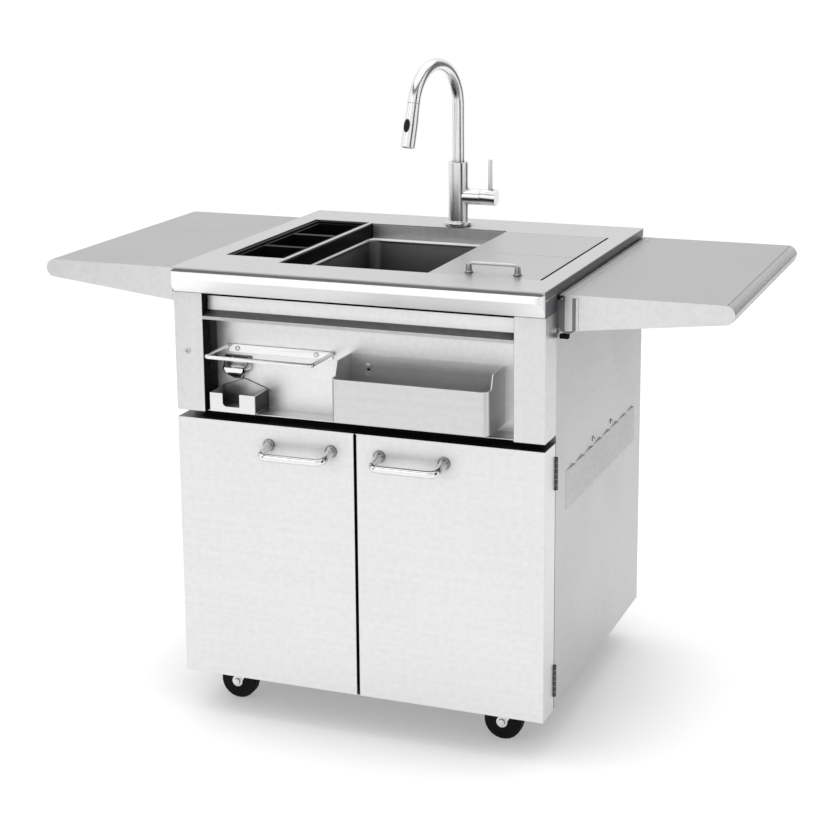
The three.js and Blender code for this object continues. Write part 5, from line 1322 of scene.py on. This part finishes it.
@dataclass
class Recess(SubAssembly):
    """Things on the recessed front: towel bar, bottle opener, cap catcher and bottle rail."""

    title: str = "recess"
    face: float = 0.055
    towel_screw_xs: tuple = (-0.267, -0.100)
    towel_screw_z: float = 0.748
    towel_screw_y: float = 0.0522
    opener_x: float = -0.266
    opener_top: float = 0.7345
    opener_bottom: float = 0.6888
    opener_half: float = 0.029
    opener_tip: float = 0.011
    opener_depth: float = 0.0235
    opener_wall: float = 0.0025
    opener_rows: tuple = (
        0, 0.03, 0.1, 0.13, 0.2, 0.3, 0.4, 0.43, 0.47, 0.52, 0.6, 0.7, 0.8, 0.9, 0.97, 1
    )
    opener_columns: tuple = (
        -1, -0.96, -0.86, -0.75, -0.7, -0.4, 0, 0.4, 0.66, 0.7, 0.75, 0.79, 0.9, 1
    )
    catcher: tuple = (-0.301, -0.205, -0.0053, 0.0547, 0.634, 0.671, 0.688)
    keyhole_xs: tuple = (0.010, 0.264)
    keyhole_z: float = 0.7345
    keyhole_radius: float = 0.0085
    keyhole_gap: float = 0.0016
    towel_screw_radius: float = 0.0045
    edge_radius: float = 0.0010
    edge_inset: float = 0.0009

    def build(self) -> None:
        """Dresses the four things, and makes the opener, the screws, and the painted shade on the
        catcher and in the keyholes.
        """
        self.dress(CAST_CHROME, "towel_bar")
        self.dress(RAIL_STEEL, "bottle_rail")
        self.dress(CATCHER_STEEL, "cap_catcher")
        places = [(x, self.towel_screw_y, self.towel_screw_z) for x in self.towel_screw_xs]
        self.screws("towel_bar_screws", places, -Y_AXIS, self.towel_screw_radius)
        self.opener()
        self.catcher_shade_edges()
        self.keyholes()

    def opener(self) -> None:
        """Cast opener: a plate that swells into a lipped cup, over a deep dark mouth.

        Over u from side to side and v from top to bottom, x = w(v) u and the height over the wall
        is h(u, v): low in the mouth (0.11 < v < 0.42, |u| < 0.72), the full depth at the lip
        (v = 0.47), then falling as a cosine to the tip; the cheeks rise straight to the lip, and
        a slot runs down beside the right cheek.
        """
        u, v = np.array(self.opener_columns), np.array(self.opener_rows)
        narrow = (1 + np.cos(math.pi * np.clip((v - 0.5) / 0.5, 0, 1))) / 2
        width = self.opener_tip + (self.opener_half - self.opener_tip) * narrow
        width[[0, -1]] -= 0.001
        fall = 0.25 + 0.75 * np.cos(0.5 * math.pi * np.clip((v - 0.66) / 0.34, 0, 1))
        rise = np.interp(v, [0, 0.03, 0.47], [0.06, 0.22, 1.0])
        height = self.opener_depth * np.where(v < 0.47, rise, fall)[:, None] * np.ones(len(u))
        mouth = (v[:, None] > 0.11) & (v[:, None] < 0.42) & (np.abs(u) < 0.72)
        height = np.where(mouth, self.opener_wall, height)
        slot = (v[:, None] > 0.45) & (v[:, None] < 0.92) & (np.abs(u - 0.72) < 0.04)
        height = np.where(slot, 0.35 * height, height)
        height = height * (1 - 0.75 * np.clip((np.abs(u) - 0.8) / 0.2, 0, 1) ** 2)
        z = self.opener_top + (self.opener_bottom - self.opener_top) * v
        wall = FRONT + self.face - 0.0004
        x = self.opener_x + width[:, None] * u
        front = np.stack([x, wall - height, z[:, None] + 0 * x], axis=-1)
        back = front[:, ::-1] * np.array([1, 0, 1]) + np.array([0, wall, 0])
        rows = np.concatenate([front, back], axis=1)
        ends = np.repeat(rows.mean(axis=1, keepdims=True)[[0, -1]], rows.shape[1], axis=1)
        shell = Shell().add(np.concatenate([ends[:1], rows, ends[1:]]))
        self.piece("opener_cup", shell, CAST_CHROME, "root", "cast_chrome", ("bottle_opener",))

    def catcher_shade_edges(self) -> None:
        """Painted shade along the edges of the cap catcher's gable, and a painted shaded skin on
        its right side.
        """
        x0, x1, front, back, bottom, top, gable = self.catcher
        y = FRONT + back - self.edge_inset
        line = np.array([(x0, y, top), ((x0 + x1) / 2, y, gable), (x1, y, top), (x1, y, bottom)])
        shell = Shell().add(swept(resampled(line, 0.002), self.edge_radius, Y_AXIS, 8))
        low, high = (x1, FRONT + front + 0.003, bottom + 0.002), (x1 + 0.0004, y, top - 0.001)
        shell.add(soft_block(low, high, 0.0002, 3))
        self.piece("catcher_shade_edges", shell, SHADE_STEEL, "cap_catcher", "cabinet_steel")

    def keyholes(self) -> None:
        """Painted shade in the keyhole mouths behind the stud heads: thin dark discs just off the
        rail's back.
        """
        profile = puck(self.keyhole_radius, 0, 0.0003, 0.0001)
        y = FRONT + self.face - self.keyhole_gap
        places = [(x, y, self.keyhole_z) for x in self.keyhole_xs]
        shell = Shell().turn(profile, places, -Y_AXIS, 28)
        self.piece("rail_keyhole_shades", shell, RUBBER_AND_SHADE, "bottle_rail", "cabinet_steel")


@dataclass
class Doors(SubAssembly):
    """Two deep doors with cast pulls."""

    title: str = "doors"
    handle_centre: float = 0.1145
    handle_centres: float = 0.130
    handle_z: float = 0.575
    handle_reach: float = 0.0437
    handle_drop: float = 0.011
    bar_radius: float = 0.0076
    foot_radius: float = 0.0108
    foot_taper: float = 0.007
    bend: float = 0.017
    foot_shade_ring: tuple = (0.0122, 0.0035)
    gap_shade: tuple = (0.0015, 0.0032, -0.0003, 0.0004, 0.0875, 0.6135)

    def build(self) -> None:
        """Dresses the doors and makes their pulls, rings of painted shade at the pulls' feet and
        strips of painted shade on the doors' free edges.
        """
        for side, sign in SIDES:
            self.dress(FRONT_STEEL, f"door_{side}_shell")
            self.dress(UPRIGHT_STEEL, f"door_{side}_liner")
            self.pull(side, sign * self.handle_centre)
            self.trim(side, sign)

    def pull(self, side: str, centre: float) -> None:
        """A bar on two legs that swell into round feet.

        The section's radius is bar + (foot - bar) exp(-s / taper), with s the distance from the
        nearer foot, so that each leg flares softly on to the door.

        Args:
            side: left or right.
            centre: middle of the pull across the cabinet.
        """
        half = self.handle_centres / 2
        low = self.handle_z - self.handle_drop
        out = FRONT - self.handle_reach
        corners = [
            (centre - half, FRONT, self.handle_z), (centre - half, out, low),
            (centre + half, out, low), (centre + half, FRONT, self.handle_z),
        ]
        path = resampled(rounded_path(corners, self.bend), 0.0015)
        along = distances(path)
        near = np.minimum(along, along[-1] - along)
        flare = (self.foot_radius - self.bar_radius) * np.exp(-near / self.foot_taper)
        normal = unit(np.cross(X_AXIS, np.array([0.0, self.handle_reach, self.handle_drop])))
        shell = Shell().add(swept(path, self.bar_radius + flare, normal, 28))
        door = f"door_{side}"
        self.piece(f"{door}_pull", shell, CAST_CHROME, door, "cast_chrome", (f"{door}_handle",))

    def trim(self, side: str, sign: int) -> None:
        """Rings of painted shade under the pull's feet, and a black strip of painted shade along
        the door's free edge.

        Args:
            side: left or right.
            sign: side of the cabinet, -1 or 1.
        """
        door, (radius, height) = f"door_{side}", self.foot_shade_ring
        profile = puck(radius, 0, height, 0.0006, taper=0.0008)
        feet = [sign * self.handle_centre + s * self.handle_centres for s in (-0.5, 0.5)]
        places = [(x, FRONT, self.handle_z) for x in feet]
        foot_shade_rings = Shell().turn(profile, places, -Y_AXIS, 32)
        self.piece(f"{door}_collars", foot_shade_rings, POST_CHROME, door, "cast_chrome")
        gap_shade = both_sides(*self.gap_shade)[sign > 0]
        self.blocks(f"{door}_seal", (gap_shade,), RUBBER_AND_SHADE, door, "black_plastic", radius=0.0001)


@dataclass
class Shelves(SubAssembly):
    """Fold-down side shelves on pivot brackets."""

    title: str = "shelves"
    depth: tuple = (0.071, 0.689)
    nose: tuple = (0.683, 0.878, 0.018)
    nose_lines: tuple = (math.radians(78), math.radians(12), math.radians(-40))
    line_radius: float = 0.0009
    # groove and strip are painted shade; hem is a raised fold
    trims: tuple = (
        ("groove_shade", (0.4034, 0.4098, 0.0697, 0.0702, 0.829, 0.890), SHADE_LINE_STEEL, 0.0002),
        ("hem", (0.4100, 0.4150, 0.0691, 0.0702, 0.829, 0.890), RIM_STEEL, 0.0005),
        ("strip", (0.3793, 0.3970, 0.071, 0.689, 0.8958, 0.8964), LIP_SHADE_STEEL, 0.0002),
    )
    bumper: tuple = (0.3778, 0.3955, 0.0728, 0.0845, 0.812, 0.821)
    bumper_round: float = 0.002

    def build(self) -> None:
        """Dresses the shelves and their brackets, and adds painted reflection bands, inner strips
        of painted shade, hems and bumpers.
        """
        self.dress(SHELF_STEEL, "shelf_left", "shelf_right")
        self.dress(SHADE_LINE_STEEL, "shelf_bracket_left", "shelf_bracket_right")
        for (side, sign), bumper in zip(SIDES, both_sides(*self.bumper)):
            body = f"shelf_{side}"
            for name, span, finish, radius in self.trims:
                spans = (both_sides(*span)[sign > 0],)
                self.blocks(f"{body}_{name}", spans, finish, body, "cabinet_steel", radius)
            self.nose_reflection_bands(body, sign)
            self.blocks(
                f"{body}_bumper", (bumper,), RUBBER_AND_SHADE, "root", "black_plastic", self.bumper_round
            )

    def nose_reflection_bands(self, body: str, sign: int) -> None:
        """Painted dark reflection bands along the shelf's half-round nose: thin rods half sunk in
        it.

        A line's middle is at (cx + r cos a, cz + r sin a), with r a little inside the nose.

        Args:
            body: the shelf's body.
            sign: side of the cabinet, -1 or 1.
        """
        x, z, radius = self.nose
        sunk = radius - 0.6 * self.line_radius
        shell = Shell()
        for angle in self.nose_lines:
            across, up = sign * (x + sunk * math.cos(angle)), z + sunk * math.sin(angle)
            path = resampled(np.array([(across, FRONT + y, up) for y in self.depth]), 0.1)
            shell.add(swept(path, self.line_radius, Z_AXIS, 8))
        self.piece(f"{body}_reflection_bands", shell, SHADE_LINE_STEEL, body, "cabinet_steel")


@dataclass
class Tap(SubAssembly):
    """Gooseneck tap with a side lever and a pull-down spray."""

    title: str = "tap"
    x: float = -0.008
    y: float = 0.605
    flange_radius: float = 0.0275
    flange_height: float = 0.008
    body_radius: float = 0.0215
    body_height: float = 0.138
    shank_radius: float = 0.016
    shank_length: float = 0.060
    neck_radius: float = 0.0132
    neck_straight: float = 0.1209
    bend_radius: float = 0.092
    lean: float = math.radians(16)
    turn: float = math.radians(-10)
    tail: float = 0.006
    head_length: float = 0.091
    head_radius: float = 0.015
    barrel_z: float = 0.064
    barrel_radius: float = 0.0173
    barrel_start: float = 0.004
    barrel_length: float = 0.052
    lever_out: float = 0.072
    lever_radius: float = 0.0043
    lever_length: float = 0.083
    ball_radius: float = 0.007
    seat: float = 0.0003

    def build(self) -> None:
        """Makes the tap's turned and bent pieces and dresses the rest."""
        self.dress(ZINC, "faucet_nut", "spray_hose", soften=False)
        self.dress(BLACK_PLASTIC, "spray_button", soften=False)
        self.dress(TAP_CHROME, "faucet_cap", soften=False)
        self.column()
        self.lever()
        self.neck()
        self.head()

    def at(self, x: float = 0.0, z: float = 0.0) -> Triple:
        """A point in the tap's upright plane, x across from its axis and z above the deck."""
        return (self.x + x, FRONT + self.y, DECK + z)

    def column(self) -> None:
        """Flange, column and side barrel; the barrel starts on the column's skin."""
        r, top = self.body_radius, self.body_height
        flange, height, shank = self.flange_radius, self.flange_height, self.shank_radius
        profile = filleted(
            [(0, -self.shank_length), (shank, -self.shank_length), (shank, self.seat),
             (flange, self.seat), (flange, height), (r + 0.0006, height + 0.0012),
             (r, height + 0.004), (r, top), (self.neck_radius, top + 0.0002), (0, top)], 0.0015,
        )
        shell = Shell().add(turned(profile, self.at(), Z_AXIS, 72))
        barrel = puck(self.barrel_radius, self.barrel_start, self.barrel_length, 0.0009)
        shell.add(turned(barrel, self.at(z=self.barrel_z), X_AXIS, 56))
        self.piece("faucet_column", shell, TAP_CHROME, "root", "tap_chrome", ("faucet_body",))

    def lever(self) -> None:
        """Thin lever: a ball in the cap and a rod with a domed end."""
        r, ball_radius = self.lever_radius, self.ball_radius
        arc = np.linspace(0, math.pi / 2, 8)
        dome = np.stack([r * np.cos(arc), self.lever_length - r + r * np.sin(arc)], axis=1)
        turn = np.linspace(-math.pi / 2, math.pi / 4, 12)
        ball = ball_radius * np.stack([np.cos(turn), np.sin(turn)], axis=1)
        place = self.at(self.lever_out, self.barrel_z)
        shell = Shell().add(turned(np.vstack([ball, dome]), place, Z_AXIS, 32))
        self.piece(
            "faucet_lever_rod", shell, TAP_CHROME, "faucet_lever", "tap_chrome", ("faucet_lever",)
        )

    @property
    def forward(self) -> np.ndarray:
        """The way that the spout points, in plan."""
        return np.array([math.sin(self.turn), -math.cos(self.turn), 0.0])

    @property
    def down(self) -> np.ndarray:
        """The way that the spray points."""
        return math.sin(self.lean) * self.forward - math.cos(self.lean) * Z_AXIS

    def neck_line(self) -> np.ndarray:
        """Centre line of the neck: up, a bend of a circle, and a short leaning tail.

        Returns:
            n x 3 points.
        """
        start = np.array(self.at(z=self.body_height + self.seat))
        foot = start + self.neck_straight * Z_AXIS
        angle = np.linspace(0, math.pi - self.lean, 40)[:, None]
        arc = (1 - np.cos(angle)) * self.forward + np.sin(angle) * Z_AXIS
        bend = foot + self.bend_radius * arc
        return resampled(np.vstack([start, bend, bend[-1] + self.tail * self.down]), 0.003)

    def neck(self) -> None:
        """Gooseneck: a round section along the neck's line."""
        normal = np.cross(Z_AXIS, self.forward)
        shell = Shell().add(swept(self.neck_line(), self.neck_radius, normal, 40))
        self.piece("faucet_neck", shell, TAP_CHROME, "spout", "tap_chrome", ("faucet_spout",))

    def head(self) -> None:
        """Spray head: swells a little, with a nozzle recess at its end."""
        start, end, r = self.neck_radius, self.head_length, self.head_radius
        profile = filleted(
            [(0, self.seat), (start, self.seat), (start + 0.0006, 0.018), (r, end * 0.45), (r, end),
             (r - 0.0035, end), (r - 0.0042, end - 0.003), (0, end - 0.003)], 0.001,
        )
        shell = Shell().add(turned(profile, tuple(self.neck_line()[-1]), self.down, 48))
        self.piece("spray_body", shell, TAP_CHROME, "spray_head", "tap_chrome", ("spray_head",))


@dataclass
class Plumbing(SubAssembly):
    """Water hoses inside the cabinet."""

    title: str = "plumbing"
    tap: tuple = (-0.008, 0.605)
    start: float = 0.8537
    end: float = 0.6767
    inlet_z: float = 0.420
    inlet_xs: tuple = (("hot", -1, 0.030), ("cold", 1, 0.110))
    spread: float = 0.008
    slack: float = 0.040
    sleeve_radius: float = 0.0065

    def build(self) -> None:
        """Dresses the hoses and their stubs, and draws a braided sleeve over each hose."""
        self.dress(ZINC, "supply_hose_hot", "supply_hose_cold", soften=False)
        for name, side, x in self.inlet_xs:
            path = self.route(self.tap[0] + side * self.spread, x)
            path = path[(path[:, 2] < self.start - 0.002) & (path[:, 1] < FRONT + self.end - 0.004)]
            shell = Shell().add(swept(path, self.sleeve_radius, X_AXIS, 20))
            self.piece(f"hose_sleeve_{name}", shell, HOSE_BRAID, "root", "braided_hose")

    def route(self, x0: float, x1: float) -> np.ndarray:
        """Line of one hose, from under the tap to its inlet.

        A centripetal Catmull-Rom curve: between B and C it is the cubic with end slopes
        m = ((B-A)/a - (C-A)/(a+b) + (C-B)/b) b, and the same at C, where a, b and c are the square
        roots of the three chords' lengths.

        Args:
            x0: across, under the tap.
            x1: across, at the inlet.

        Returns:
            n x 3 points.
        """
        y, slack, foot = self.tap[1], self.slack, self.inlet_z
        knots = np.array([
            (x0, y, self.start + slack), (x0, y, self.start - slack),
            ((x0 + x1) / 2, y - slack / 2, (self.start + foot) / 2),
            (x1, self.end - 1.5 * slack, foot + slack / 2), (x1, self.end - slack / 2, foot),
            (x1, self.end + 0.001, foot),
        ])
        knots = np.vstack([2 * knots[0] - knots[1], knots, 2 * knots[-1] - knots[-2]])
        t = np.linspace(0, 1, 24, endpoint=False)[:, None]
        pieces = []
        for p, q, r, s in zip(knots, knots[1:], knots[2:], knots[3:]):
            a, b, c = (math.sqrt(np.linalg.norm(v)) for v in (q - p, r - q, s - r))
            leave = ((q - p) / a - (r - p) / (a + b) + (r - q) / b) * b
            arrive = ((r - q) / b - (s - q) / (b + c) + (s - r) / c) * b
            pieces.append(
                (2 * t**3 - 3 * t**2 + 1) * q + (t**3 - 2 * t**2 + t) * leave
                + (3 * t**2 - 2 * t**3) * r + (t**3 - t**2) * arrive
            )
        return resampled(np.vstack(pieces) + np.array([0, FRONT, 0]), 0.004)


@dataclass
class Casters(SubAssembly):
    """Four swivel casters."""

    title: str = "casters"
    corners: tuple = ("front_left", "front_right", "back_left", "back_right")
    cheek: tuple = (0.0112, 0.0006)
    washer: tuple = (0.0066, 0.0011)
    rivet: tuple = (0.0032, 0.0016)
    leg_out: float = 0.0171
    trail: float = 0.018
    axle_z: float = 0.038
    rivet_rise: float = 0.019
    rivet_back: float = 0.012

    def build(self) -> None:
        """Dresses plates, forks and wheels, and adds the bosses of the forks."""
        for corner in self.corners:
            self.bosses(corner)
            self.dress(FORK_ZINC, f"caster_plate_{corner}", f"caster_fork_{corner}")
            self.dress(TYRE, f"caster_wheel_{corner}", soften=False)

    def bosses(self, corner: str) -> None:
        """Raised cheeks, washers and rivets on both legs of a fork.

        Args:
            corner: the caster's corner of the cabinet.
        """
        (left, front, _), (right, back, _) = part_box(f"caster_plate_{corner}")
        x, y = (left + right) / 2 - self.trail, (front + back) / 2
        cheeks, dark = Shell(), Shell()
        for _, sign in SIDES:
            seat = (x, y + sign * self.leg_out, self.axle_z)
            high = (x + self.rivet_back, seat[1], self.axle_z + self.rivet_rise)
            for shell, (radius, height), place in (
                (cheeks, self.cheek, seat), (dark, self.washer, seat), (dark, self.rivet, high)
            ):
                shell.add(turned(puck(radius, 0, height, 0.0002), place, sign * Y_AXIS, 28))
        fork = f"caster_fork_{corner}"
        self.piece(f"{fork}_cheeks", cheeks, FORK_ZINC, fork, "zinc_steel")
        self.piece(f"{fork}_washers", dark, POST_CHROME, fork, "zinc_steel")


# ---------------------------------------------------------------- studio
@dataclass
class Studio:
    """Pale floor, soft lamps, plain surroundings and the camera at the photograph's angle."""

    eye: Triple = (1.3449, -3.1589, 1.6057)
    yaw: float = 0.3723
    pitch: float = 0.2161
    roll: float = -0.0088
    lens: float = 83.21
    shift: float = -0.12
    floor_reach: float = 30.0
    surround: float = 0.42
    floor_glow: float = 0.64
    shade: float = 0.46
    shade_reach: float = 0.4
    cards: tuple = (
        ("dark_card_right", (46.0, 72.0), (0.0, 50.0), 0.03),
        ("dark_card_left", (-52.0, -43.0), (0.0, 50.0), 0.1),
        ("grey_card_side", (118.0, 150.0), (0.0, 50.0), 0.3),
        ("dark_card_over", (-80.0, 120.0), (52.0, 62.0), 0.15),
    )
    card_distance: float = 3.6
    lamps: tuple = (
        ("key_lamp", (-2.2, -2.6, 3.6), (0.0, 0.0, 0.5), 4.6, 36.0),
        ("fill_lamp", (3.2, -2.4, 2.4), (0.2, 0.0, 0.6), 4.6, 9.0),
        ("top_lamp", (0.0, 0.6, 4.2), (0.0, 0.0, 0.9), 4.0, 26.0),
    )

    def build(self) -> None:
        """Builds the floor, the world, the lamps and the camera."""
        self.floor()
        self.world()
        for lamp in self.lamps:
            self.lamp(*lamp)
        for card in self.cards:
            self.card(*card)
        self.camera()
        bpy.context.scene.view_settings.view_transform = "Standard"

    def floor(self) -> None:
        """A pale floor at z = 0, a little brighter to the camera so that it fades to white, with a
        painted shadow that darkens it near the object.
        """
        edge = np.linspace(-self.floor_reach, self.floor_reach, 3)
        x, y = np.meshgrid(edge, edge)
        ground = Shell().add(np.stack([x, y, 0 * x], axis=-1), loop=False).make("floor")
        material = bpy.data.materials.new("floor_paper")
        board = Board.of(material)
        speck = board.noise(board.add("TexCoord").outputs["Object"], 3.0, detail=3.0)
        colour = board.tint(speck, (0.86, 0.86, 0.86, 1.0), (0.9, 0.9, 0.9, 1.0))
        # Painted shadow: colour and glow darken where the floor is closed in by the object.
        deep = Effects.use(board, "painted_shade", Reach=self.shade_reach, Amount=self.shade)
        open_share = board.math("SUBTRACT", 1.0, deep.outputs["Mask"])
        paper = board.add("BsdfDiffuse", in_Color=board.tint(open_share, NEAR_BLACK, colour))
        strength = board.times(board.times(self.seen(board), self.floor_glow), open_share)
        glow = board.add("Emission", in_Color=WHITE, in_Strength=strength)
        both = board.add("AddShader", in_0=paper.outputs["BSDF"], in_1=glow.outputs["Emission"])
        board.end("OutputMaterial", both.outputs["Shader"])
        ground.data.materials.append(material)

    def world(self) -> None:
        """White where the camera, gloss or glass sees it; softer where it lights the object."""
        world = bpy.data.worlds.new("surroundings")
        bpy.context.scene.world = world
        board = Board.of(world)
        strength = board.span(self.seen(board), 0, 1, self.surround, 1.0)
        light = board.add("Background", in_Color=WHITE, in_Strength=strength)
        board.end("OutputWorld", light.outputs["Background"])

    @staticmethod
    def seen(board: Board) -> Socket:
        """Tells rays from the camera, gloss or glass from rays that carry light.

        Args:
            board: the board that the nodes are added to.

        Returns:
            1 for the first kind and 0 for the second.
        """
        path = board.add("LightPath")
        seen = board.math("MAXIMUM", path.outputs["Is Camera Ray"], path.outputs["Is Glossy Ray"])
        return board.math("MAXIMUM", seen, path.outputs["Is Transmission Ray"])

    def card(self, name: str, across: Profile, up: Profile, tone: float) -> None:
        """A dark card that only gloss sees, for the dark bands in round chrome.

        Its points lie on a sphere about the middle of the floor: P(a, e) = distance (cos e sin a,
        -cos e cos a, sin e).

        Args:
            name: the card's name.
            across: the azimuths of its edges, in degrees from the front towards the right.
            up: the heights of its edges, in degrees.
            tone: its grey.
        """
        turn = np.radians(np.linspace(*across, 24))[None, :]
        rise = np.radians(np.linspace(*up, 8))[:, None]
        flat = np.cos(rise)
        x, y, z = flat * np.sin(turn), -flat * np.cos(turn), np.sin(rise) + 0 * turn
        grid = self.card_distance * np.stack([x, y, z], axis=-1)
        card = Shell().add(grid, loop=False).make(name)
        material = bpy.data.materials.new(name)
        board = Board.of(material)
        felt = board.add("BsdfDiffuse", in_Color=(tone, tone, tone, 1.0))
        board.end("OutputMaterial", felt.outputs["BSDF"])
        card.data.materials.append(material)
        card.visible_camera = card.visible_diffuse = card.visible_shadow = False
        card.visible_transmission = card.visible_volume_scatter = False

    def lamp(self, name: str, place: Triple, target: Triple, size: float, watts: float) -> None:
        """A soft square lamp that faces a point.

        Args:
            name: the lamp's name.
            place: where it stands.
            target: the point that it faces.
            size: its side.
            watts: its power.
        """
        light = bpy.data.lights.new(name, "AREA")
        light.size = size
        light.energy = watts
        holder = bpy.data.objects.new(name, light)
        aim = Vector(target) - Vector(place)
        holder.rotation_euler = aim.to_track_quat("-Z", "Y").to_euler()
        holder.location = place
        bpy.context.scene.collection.objects.link(holder)

    def camera(self) -> None:
        """The camera: turned by yaw, tilted down by pitch, with the photograph's field of view."""
        data = bpy.data.cameras.new("camera")
        data.lens = self.lens
        data.sensor_width = 36.0
        data.clip_end = 200.0
        data.shift_y = self.shift
        camera = bpy.data.objects.new("camera", data)
        x, y, z = self.eye
        turn = Matrix.Rotation(self.yaw, 4, "Z") @ Matrix.Rotation(math.pi / 2 - self.pitch, 4, "X")
        camera.matrix_world = (
            Matrix.Translation((x, FRONT + y, z)) @ turn @ Matrix.Rotation(self.roll, 4, "Z")
        )
        bpy.context.scene.collection.objects.link(camera)
        bpy.context.scene.camera = camera


def main() -> None:
    """Builds the studio and each sub-assembly."""
    Studio().build()
    for part in (
        Cabinet(), Worktop(), CondimentTray(), Recess(), Doors(), Shelves(), Tap(), Plumbing(),
        Casters(),
    ):
        part.build()
        log.info("%s: done", part.title)


if __name__ == "__main__":
    main()
